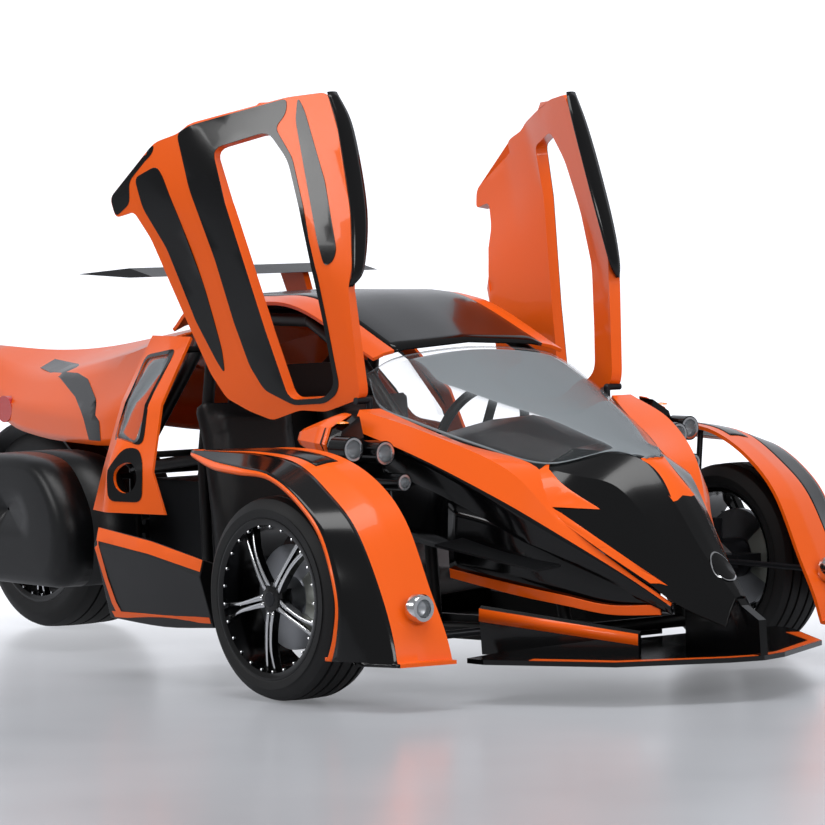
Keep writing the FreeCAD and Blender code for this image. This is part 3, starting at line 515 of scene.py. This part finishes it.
for side_name, side in SIDES:
    inside = (0, 0.6, 0.8)
    leaf = sheet_of(f"door_leaf_{side_name}", rounded(DOOR_OUTLINE, 0.02),
                    lambda aft, z: (side * door_x(aft, z), aft, z), ORANGE, (rounded(DOOR_WINDOW, 0.03),),
                    wall=DOOR_WALL, bevel=0.005, inside=inside)
    panels = [leaf]
    for label, outline in DOOR_PANELS:
        holes = (rounded(DOOR_WINDOW, 0.03),) if label == "surround" else ()
        panels.append(sheet_of(f"door_{label}_{side_name}", rounded(outline, 0.02),
                               lambda aft, z: (side * (door_x(aft, z) + 0.002), aft, z), BLACK, holes,
                               wall=0.004, bevel=0.001, inside=inside))
    edge = spline([(aft, z) for aft, z in DOOR_OUTLINE[2:7]], 6)
    width = np.sin(np.linspace(0.02, 0.85, len(edge)) * np.pi) * 0.052 + 0.012
    rows = [[(side * (door_x(aft, z) - 0.001 - w * t), aft - 0.0005,
              z + 0.002 + 0.003 * math.sin(math.pi * t))
             for t in np.linspace(0, 1, 6)] for (aft, z), w in zip(edge, width)]
    panels.append(grid(f"door_roof_edge_{side_name}", rows, BLACK, wall=0.003, inside=inside))
    for piece in panels:
        piece.data.transform(SWING)
        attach(piece, f"{side_name}_door")
    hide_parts(f"door_{side_name}")

# Nose: a crowned black hood with two creases and black flanks, moulded and fixed to the frame.
# The orange band, stripe, patch and sill and the plain oval badge are thin paint films laid on them.
HOOD = (
    (-0.350, ((0.352, 0.585), (0.244, 0.640), (0.120, 0.690), (0, 0.700))),
    (-0.460, ((0.288, 0.505), (0.210, 0.620), (0.100, 0.682), (0, 0.684))),
    (-0.570, ((0.238, 0.425), (0.150, 0.588), (0.043, 0.655), (0, 0.658))),
    (-0.692, ((0.174, 0.338), (0.110, 0.465), (0.045, 0.546), (0, 0.549))),
    (-0.800, ((0.128, 0.262), (0.078, 0.345), (0.036, 0.408), (0, 0.412))),
    (-0.915, ((0.060, 0.204), (0.040, 0.252), (0.020, 0.284), (0, 0.288))),
)
FLANK = (
    (0.115, ((0.454, 0.806), (0.532, 0.806), (0.562, 0.752), (0.446, 0.627), (0.417, 0.434))),
    (-0.120, ((0.356, 0.712), (0.470, 0.742), (0.502, 0.672), (0.425, 0.560), (0.400, 0.400))),
    (-0.345, ((0.256, 0.642), (0.366, 0.640), (0.405, 0.560), (0.372, 0.460), (0.330, 0.380))),
    (-0.470, ((0.280, 0.506), (0.292, 0.500), (0.312, 0.470), (0.300, 0.400), (0.270, 0.350))),
    (-0.640, ((0.190, 0.360), (0.194, 0.356), (0.198, 0.348), (0.196, 0.320), (0.190, 0.290))),
    (-0.770, ((0.130, 0.268), (0.133, 0.265), (0.136, 0.260), (0.136, 0.248), (0.132, 0.236))),
)
hood_rows = finer(spline(whole(HOOD), 8), 4)
hood = grid("hood", hood_rows, BLACK, wall=0.010, inside=(0, -0.5, 0.2), bevel=0.002, crease=14)
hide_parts("nose_hood")
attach(hood, "root")
flanks = []
band_columns = 9
for side_name, side in SIDES:
    flank = finer(spline(stations(FLANK, side), 8), 4)
    band = grid(f"flank_band_{side_name}", flank[:, :band_columns], ORANGE, wall=0.010, inside=(0, -0.2, 0.3),
                bevel=0.002, crease=20)
    lower = grid(f"flank_lower_{side_name}", flank[:, band_columns - 1:], BLACK, wall=0.010,
                 inside=(0, -0.2, 0.3), crease=20)
    flanks += [band, lower]
for piece in flanks:
    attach(piece, "root")
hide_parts("nose_flanks")
def laid(target, way, lift=0.002):
    """A surface that casts flat places onto a piece: along x from one side, or down from above."""
    mesh = target.data
    tree = BVHTree.FromPolygons([corner.co.copy() for corner in mesh.vertices],
                                [tuple(face.vertices) for face in mesh.polygons])

    def place(a, b):
        if way == "down":
            start, cast = Vector((a, AXLE_Y + b, 3.0)), Vector((0, 0, -1))
        else:
            start, cast = Vector((way * 3.0, AXLE_Y + a, b)), Vector((-way, 0, 0))
        spot, normal, _, _ = tree.ray_cast(start, cast)
        if spot is None:
            spot, normal, _, _ = tree.find_nearest(start + cast * 2.5)
        if normal.dot(cast) > 0:
            normal = -normal
        spot = spot + normal * lift
        return spot.x, spot.y - AXLE_Y, spot.z

    return place


NOSE_SIDE = (
    # aft, then (x, height) down the black panel and its orange sill
    (-0.735, ((0.141, 0.300), (0.142, 0.276), (0.142, 0.262), (0.140, 0.232))),
    (-0.602, ((0.212, 0.378), (0.214, 0.310), (0.212, 0.258), (0.210, 0.230))),
    (-0.485, ((0.282, 0.462), (0.286, 0.360), (0.282, 0.284), (0.280, 0.254))),
    (-0.350, ((0.372, 0.500), (0.370, 0.400), (0.350, 0.312), (0.345, 0.280))),
    (-0.150, ((0.424, 0.540), (0.428, 0.440), (0.424, 0.352), (0.420, 0.324))),
)
HOOD_STRIPE = ((-0.352, 0.652), (-0.378, 0.634), (-0.551, 0.526), (-0.440, 0.533), (-0.467, 0.517),
               (-0.642, 0.395), (-0.757, 0.316), (-0.747, 0.262), (-0.722, 0.290), (-0.569, 0.411),
               (-0.483, 0.481), (-0.400, 0.540), (-0.352, 0.600))
BADGE_AFT, BADGE_RADIUS, BADGE_FIELD = -0.842, 0.036, 0.9
HOOD_BADGE = [(BADGE_RADIUS * math.cos(t), BADGE_AFT + BADGE_RADIUS * math.sin(t))
              for t in np.linspace(0, 2 * np.pi, 40)[:-1]]
decals = []
for side_name, side in SIDES:
    rows = spline(stations(NOSE_SIDE, side), 6)
    decals.append(grid(f"nose_side_{side_name}", finer(rows[:, :3], 3), BLACK, wall=0.004,
                       inside=(0, -0.4, 0.3), crease=50))
    decals.append(grid(f"nose_sill_{side_name}", rows[:, 2:] + (side * 0.002, 0, 0), ORANGE, wall=0.010,
                       inside=(0, -0.4, 0.3), bevel=0.002))
    decals.append(sheet_of(f"hood_stripe_{side_name}", HOOD_STRIPE, laid(hood, side), ORANGE, step=0.02,
                           inside=(0, -0.4, 0.3), crease=50))
decals.append(sheet_of("hood_patch", ((-0.045, -0.556), (0.045, -0.556), (0.046, -0.680), (-0.046, -0.692)),
                       laid(hood, "down"), ORANGE, step=0.02, inside=(0, -0.4, 0.3), crease=50))
decals.append(sheet_of("nose_badge", HOOD_BADGE, laid(hood, "down", 0.003), BRIGHT, step=0.012,
                       inside=(0, -0.4, 0.3), crease=50))
decals.append(sheet_of("nose_badge_field", [(x * BADGE_FIELD, BADGE_AFT + (aft - BADGE_AFT) * BADGE_FIELD)
                                            for x, aft in HOOD_BADGE],
                       laid(hood, "down", 0.0045), BLACK, step=0.012, inside=(0, -0.4, 0.3), crease=50))
for piece in decals:
    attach(piece, "root")

# Windscreen: one clear crowned sheet, glued along the orange band and the roof's front edge.
SCREEN_TABLE = (
    (-0.566, ((0.034, 0.664), (0.018, 0.669), (0, 0.671))),
    (-0.480, ((0.092, 0.688), (0.050, 0.697), (0, 0.702))),
    (-0.355, ((0.232, 0.652), (0.130, 0.722), (0, 0.744))),
    (-0.180, ((0.330, 0.702), (0.205, 0.780), (0, 0.812))),
    (0.020, ((0.408, 0.768), (0.265, 0.850), (0, 0.884))),
    (0.128, ((0.446, 0.812), (0.300, 0.888), (0, 0.926))),
    (0.240, ((0.398, 0.905), (0.270, 0.950), (0, 0.970))),
)
screen_rows = spline(whole(SCREEN_TABLE), 6)
screen_rows = spline(screen_rows.transpose(1, 0, 2), 8).transpose(1, 0, 2)
screen = grid("screen", screen_rows, SCREEN, wall=0.005, inside=(0, -0.1, 0.3))
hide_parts("windscreen")
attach(screen, "root")

# Roof: a glossy black dome between two orange rails, moulded as one skin over the frame.
ROOF = (
    (0.245, ((0.372, 0.948), (0.330, 0.962), (0.250, 0.976), (0, 0.990))),
    (0.600, ((0.372, 1.094), (0.320, 1.106), (0.240, 1.116), (0, 1.122))),
    (0.860, ((0.372, 1.106), (0.320, 1.118), (0.240, 1.128), (0, 1.136))),
    (1.120, ((0.372, 1.094), (0.320, 1.106), (0.240, 1.118), (0, 1.126))),
    (1.250, ((0.360, 1.020), (0.320, 1.036), (0.240, 1.056), (0, 1.072))),
)
roof_rows = finer(spline(whole(ROOF), 8), 4)
dome = grid("roof_dome", roof_rows[:, 6:19], BLACK, wall=0.010, inside=(0, 0.7, 0.5), crease=40)
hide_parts("roof_panel")
roof_pieces = [dome]
for side_name, columns in (("left", slice(0, 7)), ("right", slice(18, 25))):
    roof_pieces.append(grid(f"roof_rail_{side_name}", roof_rows[:, columns], ORANGE, wall=0.012,
                            inside=(0, 0.7, 0.5), bevel=0.002))
for piece in roof_pieces:
    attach(piece, "root")

# Lamp pods: two round lamps and a low lamp on each side, in black cans with bright rings and clear lenses.
# An orange arch runs round the back of each cowl, with an amber signal on top.
LAMPS = ((0.658, -0.012, 0.701, 0.037), (0.574, -0.052, 0.687, 0.036), (0.566, -0.127, 0.606, 0.026))
pod_end = 0.062
for side_name, side in SIDES:
    for k, (x, front, z, radius) in enumerate(LAMPS):
        spot = (side * x, front, z)
        length = pod_end - front
        can = lathe(f"lamp_can_{side_name}_{k}", [(0.0, radius - 0.004), (0.001, radius), (0.012, radius),
                                                  (length, radius), (length, 0.001), (0.034, 0.002),
                                                  (0.014, radius - 0.008), (0.0, radius - 0.004)],
                    spot, BLACK, 48, axis="y")
        ring = lathe(f"lamp_ring_{side_name}_{k}", [(-0.0005, radius - 0.0035), (-0.0005, radius - 0.010),
                                                    (0.008, radius - 0.011), (0.008, radius - 0.0035),
                                                    (-0.0005, radius - 0.0035)], spot, BRIGHT, 48, axis="y")
        bowl = lathe(f"lamp_bowl_{side_name}_{k}", [(0.006, radius - 0.011), (0.020, radius * 0.45),
                                                    (0.030, 0.001)], spot, STEEL, 32, axis="y")
        lens = lathe(f"lamp_lens_{side_name}_{k}", [(0.002, radius - 0.011), (0.0, radius * 0.5),
                                                    (-0.0005, 0.001)], spot, LENS, 32, axis="y")
        for piece in (can, ring, bowl, lens):
            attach(piece, "root")
        if side_name == "left" and k == 0:
            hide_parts("headlamps")
POD_ARCH = (
    (0.095, ((0.579, 0.796), (0.655, 0.762), (0.674, 0.712), (0.656, 0.672))),
    (0.132, ((0.581, 0.798), (0.664, 0.764), (0.684, 0.716), (0.664, 0.672))),
    (0.160, ((0.620, 0.782), (0.664, 0.760), (0.680, 0.718), (0.664, 0.682))),
    (0.232, ((0.644, 0.754), (0.662, 0.744), (0.670, 0.722), (0.660, 0.706))),
)
for side_name, side in SIDES:
    arch = grid(f"pod_arch_{side_name}", finer(spline(stations(POD_ARCH, side), 5), 4), ORANGE, wall=0.003,
                inside=(side * 0.58, 0.15, 0.70))
    signal = lathe(f"signal_{side_name}", [(0.0, 0.0005), (0.0, 0.020), (0.004, 0.017), (0.007, 0.0005)],
                   (side * 0.625, 0.080, 0.772), AMBER, 32, axis="z")
    for piece in (arch, signal):
        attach(piece, "root")

# Side pods: black moulded boxes below the doors, lofted through three sections.
# Orange paint edges the shelf, the sill and the arc at the back.
POD_DECALS = (
    ("shelf", ((0.898, 0.450), (0.620, 0.422), (0.378, 0.380), (0.378, 0.346), (0.620, 0.386),
               (0.890, 0.412))),
    ("sill", ((0.880, 0.200), (0.380, 0.212), (0.380, 0.194), (0.870, 0.182))),
    ("arc", ((0.898, 0.446), (0.896, 0.390), (0.884, 0.300), (0.870, 0.225), (0.850, 0.186), (0.820, 0.186),
             (0.845, 0.230), (0.862, 0.300), (0.874, 0.400))),
)
POD = (
    (0.375, ((0.600, 0.240), (0.640, 0.290), (0.912, 0.380), (0.926, 0.330), (0.880, 0.180), (0.560, 0.180))),
    (0.620, ((0.560, 0.250), (0.600, 0.290), (0.915, 0.424), (0.930, 0.380), (0.880, 0.168), (0.470, 0.150))),
    (0.900, ((0.520, 0.280), (0.590, 0.320), (0.905, 0.452), (0.925, 0.400), (0.870, 0.178), (0.440, 0.170))),
)
for side_name, side in SIDES:
    pod = grid(f"side_pod_{side_name}", spline(stations(POD, side), 4), MOULDED, around=True, capped=True,
               bevel=0.004, crease=25)
    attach(pod, "root")
    if side_name == "left":
        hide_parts("side_pods")
    for label, outline in POD_DECALS:
        piece = sheet_of(f"pod_{label}_{side_name}", outline, laid(pod, side), ORANGE, step=0.02,
                         inside=(0, 0.6, 0.3), crease=50)
        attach(piece, "root")

# Rear quarters: orange moulded walls behind the doors, cut through for a window and a round vent.
# A black surround frames the vent and another the window, with a clear pane set into it.
# height, then (x, aft) at the front edge, the fold and the rear edge
QUARTER = (
    (0.470, ((0.638, 0.930), (0.686, 1.170), (0.640, 1.300))),
    (0.600, ((0.642, 0.985), (0.680, 1.165), (0.590, 1.310))),
    (0.800, ((0.578, 1.020), (0.584, 1.170), (0.500, 1.330))),
    (1.000, ((0.416, 1.080), (0.402, 1.150), (0.385, 1.320))),
)
QUARTER_OUTLINE = [(line[0][1], z) for z, line in QUARTER] + [(line[2][1], z) for z, line in QUARTER[::-1]]
QUARTER_WINDOW = ((1.070, 0.680), (1.230, 0.700), (1.290, 0.930), (1.130, 0.950))
VENT_FRAME = ((1.022, 0.505), (1.160, 0.505), (1.166, 0.600), (1.130, 0.668), (1.060, 0.668), (1.022, 0.610))
WINDOW_FRAME = ((1.050, 0.676), (1.236, 0.690), (1.302, 0.940), (1.120, 0.965))
VENT_AFT, VENT_HEIGHT, VENT_RADIUS, VENT_SIDES = 1.092, 0.578, 0.0465, 32
vent_hole = [(VENT_AFT + VENT_RADIUS * math.cos(t), VENT_HEIGHT + VENT_RADIUS * math.sin(t))
             for t in np.linspace(0, 2 * np.pi, VENT_SIDES + 1)[:-1]]


def quarter_x(aft, height, lift=0.0):
    """Distance of the quarter's outer face from the middle, at a place on its side view."""
    heights = [row[0] for row in QUARTER]
    sides, afts = [[np.interp(height, heights, [row[1][k][axis] for row in QUARTER]) for k in range(3)]
                   for axis in (0, 1)]
    return float(np.interp(aft, afts, sides)) + lift


for side_name, side in SIDES:
    inside = (0, 1.1, 0.6)
    wall = sheet_of(f"quarter_{side_name}", QUARTER_OUTLINE,
                    lambda a, z: (side * quarter_x(a, z), a, z), ORANGE,
                    (rounded(QUARTER_WINDOW, 0.03), vent_hole), wall=0.010, bevel=0.002,
                    inside=inside, crease=50)
    pane = sheet_of(f"quarter_pane_{side_name}", rounded(QUARTER_WINDOW, 0.03),
                    lambda a, z: (side * quarter_x(a, z, -0.003), a, z), SCREEN, wall=0.004,
                    inside=inside, crease=50)
    vent = sheet_of(f"quarter_vent_{side_name}", rounded(VENT_FRAME, 0.03),
                    lambda a, z: (side * quarter_x(a, z, 0.002), a, z), BLACK, (vent_hole,), step=0.02,
                    inside=inside, crease=50)
    border = sheet_of(f"quarter_border_{side_name}", rounded(WINDOW_FRAME, 0.03),
                      lambda a, z: (side * quarter_x(a, z, 0.002), a, z), BLACK,
                      (rounded(QUARTER_WINDOW, 0.03),), step=0.02, inside=inside, crease=50)
    for piece in (wall, vent, border):
        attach(piece, "root")
    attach(pane, "root")
    if side_name == "left":
        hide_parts("quarter_panels")
        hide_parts("quarter_glass")

# Panniers: hollow moulded cases split down the middle, with rounded edges and a lock on each lid.
# The outer halves are the lids, which swing on their own bodies.
PANNIER = ((1.500, 0.205), (1.482, 0.430), (1.600, 0.600), (1.760, 0.628), (2.000, 0.618), (2.090, 0.470),
           (2.040, 0.210))
PANNIER_INNER, PANNIER_SPLIT, PANNIER_OUTER, PANNIER_GAP = 0.330, 0.505, 0.625, 0.001
pannier_line = rounded(PANNIER, 0.09, 7)
pannier_centre = pannier_line.mean(0)


def half_case(name, side, places):
    """Half of a hollow case: its closed outline at each (x, scale), the last one closing its face."""
    rows = []
    for x, scale in places:
        line = pannier_centre + (pannier_line - pannier_centre) * scale
        rows.append([(side * x, aft, z) for aft, z in line])
    return grid(name, rows, MOULDED, around=True, wall=0.006, inside=(side * PANNIER_SPLIT, *pannier_centre),
                crease=40)


for side_name, side in SIDES:
    case = half_case(f"pannier_case_{side_name}", side, (
        (PANNIER_SPLIT - PANNIER_GAP, 1.0), (PANNIER_INNER + 0.02, 1.0), (PANNIER_INNER + 0.006, 0.985),
        (PANNIER_INNER, 0.95), (PANNIER_INNER, 0.5), (PANNIER_INNER, 0.02)))
    lid_piece = half_case(f"pannier_lid_{side_name}_shell", side, (
        (PANNIER_SPLIT, 1.0), (PANNIER_OUTER - 0.05, 0.995), (PANNIER_OUTER - 0.026, 0.97),
        (PANNIER_OUTER - 0.010, 0.92), (PANNIER_OUTER - 0.002, 0.85), (PANNIER_OUTER, 0.76),
        (PANNIER_OUTER, 0.4), (PANNIER_OUTER, 0.02)))
    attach(case, "root")
    if side_name == "left":
        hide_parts("pannier_boxes")
    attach(lid_piece, f"{side_name}_lid")
    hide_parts(f"pannier_lid_{side_name}")
    lock = lathe(f"pannier_lock_{side_name}", [(0.0, 0.0005), (0.0, 0.018), (side * -0.004, 0.022),
                                               (side * -0.010, 0.022)],
                 (side * 0.6245, 1.762, 0.519), STEEL, 32)
    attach(lock, f"{side_name}_lid")

# Dash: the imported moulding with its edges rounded.
def softened(name, node, material, body, width, bevel_steps=3):
    """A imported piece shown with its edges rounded."""
    packed = frame["nodes"][node]
    piece = packed.copy()
    piece.data = packed.data.copy()
    piece.name = name
    bpy.context.scene.collection.objects.link(piece)
    work = bmesh.new()
    work.from_mesh(piece.data)
    bmesh.ops.remove_doubles(work, verts=work.verts, dist=0.0001)
    bmesh.ops.dissolve_limit(work, angle_limit=math.radians(1), verts=work.verts, edges=work.edges)
    work.to_mesh(piece.data)
    work.free()
    piece.data.shade_smooth()
    piece.data.set_sharp_from_angle(angle=math.radians(40))
    piece.data.materials.clear()
    piece.data.materials.append(material)
    rounding = piece.modifiers.new("edges", "BEVEL")
    rounding.width = width
    rounding.segments = bevel_steps
    rounding.limit_method = "ANGLE"
    rounding.angle_limit = math.radians(25)
    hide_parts(node)
    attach(piece, body)
    return piece


softened("dash", "dash_panel", MOULDED, "root", 0.015)

# Seats: vinyl over foam on the floor tub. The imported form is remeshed, drawn in a little and blown out
# by a cloth simulation whose reach is capped, so that it keeps clear of the cabin.
SEAT_VOXEL, SEAT_SHRINK, SEAT_CAP, SEAT_STEPS = 0.016, 0.010, 0.016, 20
seats = softened("seat_pads", "seats", VINYL, "root", 0.03, 3)
bpy.context.view_layer.update()
baked = bpy.data.meshes.new_from_object(seats.evaluated_get(bpy.context.evaluated_depsgraph_get()))
seats.modifiers.clear()
seats.data = baked
remesh = seats.modifiers.new("remesh", "REMESH")
remesh.mode = "VOXEL"
remesh.voxel_size = SEAT_VOXEL
shrink = seats.modifiers.new("shrink", "DISPLACE")
shrink.strength = -SEAT_SHRINK
shrink.mid_level = 0.0
bpy.context.view_layer.update()
start = bpy.data.meshes.new_from_object(seats.evaluated_get(bpy.context.evaluated_depsgraph_get()))
seats.modifiers.clear()
seats.data = start
before = np.array([v.co[:] for v in start.vertices])
cloth = seats.modifiers.new("cloth", "CLOTH")
cloth.settings.use_pressure = True
cloth.settings.uniform_pressure_force = 4.0
cloth.settings.effector_weights.gravity = 0.0
for step in range(1, SEAT_STEPS + 1):
    bpy.context.scene.frame_set(step)
blown = bpy.data.meshes.new_from_object(seats.evaluated_get(bpy.context.evaluated_depsgraph_get()))
seats.modifiers.clear()
bpy.context.scene.frame_set(1)
after = np.array([v.co[:] for v in blown.vertices])
move = after - before
reach = np.linalg.norm(move, axis=1, keepdims=True)
after = before + move * np.minimum(1.0, SEAT_CAP / np.maximum(reach, 1e-9))
blown.vertices.foreach_set("co", after.ravel())
blown.materials.clear()
blown.materials.append(VINYL)
seats.data = blown
seats.data.shade_smooth()

# Tail: one orange moulded shell that tapers back from the roof, with a black sweep painted on each side.
TAIL = (
    (1.300, ((0.415, 0.600), (0.400, 0.820), (0.290, 1.000), (0, 1.056))),
    (1.480, ((0.408, 0.645), (0.396, 0.780), (0.276, 0.962), (0, 1.026))),
    (1.650, ((0.396, 0.648), (0.382, 0.740), (0.262, 0.925), (0, 1.000))),
    (2.060, ((0.300, 0.655), (0.294, 0.745), (0.215, 0.860), (0, 0.942))),
    (2.380, ((0.222, 0.700), (0.218, 0.765), (0.150, 0.855), (0, 0.924))),
    (2.738, ((0.092, 0.850), (0.090, 0.880), (0.058, 0.915), (0, 0.934))),
)
TAIL_SWEEP = ((2.300, 0.895), (2.050, 0.886), (1.820, 0.846), (1.690, 0.790), (1.600, 0.720), (1.580, 0.662),
              (1.660, 0.662), (1.720, 0.730), (1.850, 0.790), (2.050, 0.846), (2.300, 0.868))
tail = grid("tail_shell", finer(spline(whole(TAIL), 6), 4), ORANGE, wall=0.010, inside=(0, 1.9, 0.5),
            crease=40)
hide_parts("tail_body")
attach(tail, "root")
for side_name, side in SIDES:
    sweep = sheet_of(f"tail_sweep_{side_name}", TAIL_SWEEP, laid(tail, side), BLACK, step=0.02,
                     inside=(0, 1.9, 0.5), crease=50)
    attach(sweep, "root")

# Front wing: an orange lip round the edge of the black splitter and an orange strip on each end plate.
SPLITTER_EDGE = ((0.528, -0.611), (0.398, -0.826), (0.104, -0.975), (0.0, -1.000))
lip_line = [(-x, aft) for x, aft in SPLITTER_EDGE] + [(x, aft) for x, aft in SPLITTER_EDGE[-2::-1]]
LIP_LOW, LIP_HIGH, LIP_WIDTH, LIP_NARROWED = 0.1125, 0.127, 0.022, 0.93
lip_rows = [[(x, aft, LIP_LOW), (x, aft, LIP_HIGH), (x * LIP_NARROWED, aft + LIP_WIDTH, LIP_HIGH),
             (x * LIP_NARROWED, aft + LIP_WIDTH, LIP_LOW)] for x, aft in lip_line]
lip_piece = grid("splitter_lip", lip_rows, ORANGE, around=True, capped=True, crease=40)
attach(lip_piece, "root")
for side_name, side in SIDES:
    ends = [[(side * x, aft, z) for x, aft, z in row] for row in (
        ((0.4785, -0.342, 0.252), (0.480, -0.342, 0.215)), ((0.207, -0.711, 0.182), (0.208, -0.711, 0.150)))]
    strip = grid(f"splitter_band_{side_name}", ends, ORANGE, wall=0.002, inside=(0, -0.5, 0.2))
    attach(strip, "root")

# Stage: a pale floor that sweeps up into a back wall, near to white where camera, mirrors and glass see it.
# Soft lamps above, beside, in front and behind light the object.
FLOOR_NEAR, FLOOR_FAR, SWEEP, WALL_TOP = 14.0, 4.2, 1.6, 9.0
AZIMUTH = math.radians(-39.85)
away = np.array([-math.sin(AZIMUTH), math.cos(AZIMUTH), 0.0])
beside = np.array([math.cos(AZIMUTH), math.sin(AZIMUTH), 0.0])


def pale(name, shade, near_light, far_light):
    """A floor that keeps its shadows near the object and turns white towards the back."""
    material = bpy.data.materials.new(name)
    material.use_nodes = True
    tree = material.node_tree
    shader = tree.nodes["Principled BSDF"]
    shader.inputs["Base Color"].default_value = colour(shade)
    shader.inputs["Specular IOR Level"].default_value = 0.35
    shader.inputs["Emission Color"].default_value = colour("#F4F6FB")
    place = add(tree, "ShaderNodeTexCoord")
    marks = add(tree, "ShaderNodeTexNoise", {"Scale": 1.3}, {"Vector": place.outputs["Object"]})
    rough = add(tree, "ShaderNodeMapRange", {"To Min": 0.16, "To Max": 0.30}, {"Value": marks.outputs["Fac"]})
    tree.links.new(rough.outputs["Result"], shader.inputs["Roughness"])
    depth = add(tree, "ShaderNodeVectorMath", {1: tuple(away)}, {0: place.outputs["Object"]},
                operation="DOT_PRODUCT")
    fade = add(tree, "ShaderNodeMapRange", {"From Min": -2.0, "From Max": FLOOR_FAR, "To Min": near_light,
                                            "To Max": far_light}, {"Value": depth.outputs["Value"]},
               interpolation_type="SMOOTHSTEP")
    path = add(tree, "ShaderNodeLightPath")
    seen = add(tree, "ShaderNodeMath", None, {0: path.outputs["Is Camera Ray"],
                                              1: path.outputs["Is Transmission Ray"]}, operation="MAXIMUM")
    mirrored = add(tree, "ShaderNodeMath", {1: 0.45}, {0: path.outputs["Is Glossy Ray"]},
                   operation="MULTIPLY")
    either = add(tree, "ShaderNodeMath", None, {0: seen.outputs["Value"], 1: mirrored.outputs["Value"]},
                 operation="MAXIMUM")
    glow = add(tree, "ShaderNodeMath", None, {0: either.outputs["Value"], 1: fade.outputs["Result"]},
               operation="MULTIPLY")
    tree.links.new(glow.outputs["Value"], shader.inputs["Emission Strength"])
    return material


turn = np.linspace(0, np.pi / 2, 17)
profile = [(-FLOOR_NEAR, 0.0), (0.0, 0.0)]
profile += [(FLOOR_FAR + SWEEP * math.sin(t), SWEEP * (1 - math.cos(t))) for t in turn]
profile += [(FLOOR_FAR + SWEEP, WALL_TOP)]
sweep_points = []
for depth, height in profile:
    middle = away * depth + np.array([0, 0, height])
    sweep_points.append([middle + beside * width for width in (-24.0, 24.0)])
sweep_points = np.array(sweep_points)
floor_mesh = bpy.data.meshes.new("floor")
floor_mesh.from_pydata(sweep_points.reshape(-1, 3).tolist(), [],
                       [(2 * k, 2 * k + 1, 2 * k + 3, 2 * k + 2) for k in range(len(profile) - 1)])
floor_mesh.shade_smooth()
floor_mesh.materials.append(pale("floor_paint", "#A9ABB0", 0.12, 1.0))
floor = bpy.data.objects.new("floor", floor_mesh)
bpy.context.scene.collection.objects.link(floor)

world = bpy.data.worlds.new("studio")
bpy.context.scene.world = world
world.use_nodes = True
sky = world.node_tree
backdrop = sky.nodes["Background"]
backdrop.inputs["Color"].default_value = (0.96, 0.97, 1.0, 1)
sky_path = add(sky, "ShaderNodeLightPath")
sky_seen = add(sky, "ShaderNodeMath", None, {0: sky_path.outputs["Is Camera Ray"],
                                             1: sky_path.outputs["Is Transmission Ray"]}, operation="MAXIMUM")
SKY_LIGHT, SKY_GLOSS = 0.62, 0.30
sky_glossy = add(sky, "ShaderNodeMapRange", {"To Min": SKY_LIGHT, "To Max": SKY_GLOSS},
                 {"Value": sky_path.outputs["Is Glossy Ray"]})
sky_level = add(sky, "ShaderNodeMath", None, {0: sky_seen.outputs["Value"], 1: sky_glossy.outputs["Result"]},
                operation="MAXIMUM")
sky.links.new(sky_level.outputs["Value"], backdrop.inputs["Strength"])

LIGHTS = (
    # name, place, aim, width, height, watts
    ("top", (-1.0, -1.5, 5.5), (0, 0, 0.5), 5.0, 2.0, 150),
    ("near_side", (-6.0, 1.5, 3.4), (0, 0.4, 0.6), 3.0, 1.2, 90),
    ("front", (-1.0, -7.5, 3.0), (0, -0.4, 0.5), 4.0, 1.4, 120),
    ("behind", (4.0, 5.0, 4.5), (0, 0, 0.8), 4.0, 1.5, 110),
)
for name, place, aim, width, height, watts in LIGHTS:
    lamp = bpy.data.lights.new(name, "AREA")
    lamp.shape = "RECTANGLE"
    lamp.size, lamp.size_y = width, height
    lamp.energy = watts
    holder = bpy.data.objects.new(name, lamp)
    holder.location = place
    holder.rotation_euler = (Vector(aim) - Vector(place)).to_track_quat("-Z", "Y").to_euler()
    bpy.context.scene.collection.objects.link(holder)

# Camera: where the photograph was taken from, level but for a slight roll
CAMERA_PLACE = (-8.7355812, AXLE_Y - 10.05500255, 1.44485614)
ELEVATION, ROLL = math.radians(2.85), math.radians(-0.97)
LENS_MM, SENSOR_MM, SHIFT_X = 196.9, 36.0, -0.0272
back = Vector((math.sin(AZIMUTH) * math.cos(ELEVATION), -math.cos(AZIMUTH) * math.cos(ELEVATION),
               math.sin(ELEVATION)))
right = (-back).cross(Vector((0, 0, 1))).normalized()
up = right.cross(-back)
turned_right = right * math.cos(ROLL) + up * math.sin(ROLL)
turned_up = -right * math.sin(ROLL) + up * math.cos(ROLL)
camera_data = bpy.data.cameras.new("camera")
camera_data.lens = LENS_MM
camera_data.sensor_width = SENSOR_MM
camera_data.shift_x = SHIFT_X
camera_data.clip_end = 200
camera_data.dof.use_dof = False
camera = bpy.data.objects.new("camera", camera_data)
camera.matrix_world = Matrix((turned_right, turned_up, back)).transposed().to_4x4()
camera.location = CAMERA_PLACE
bpy.context.scene.collection.objects.link(camera)
bpy.context.scene.camera = camera
bpy.context.scene.view_settings.view_transform = "Standard"
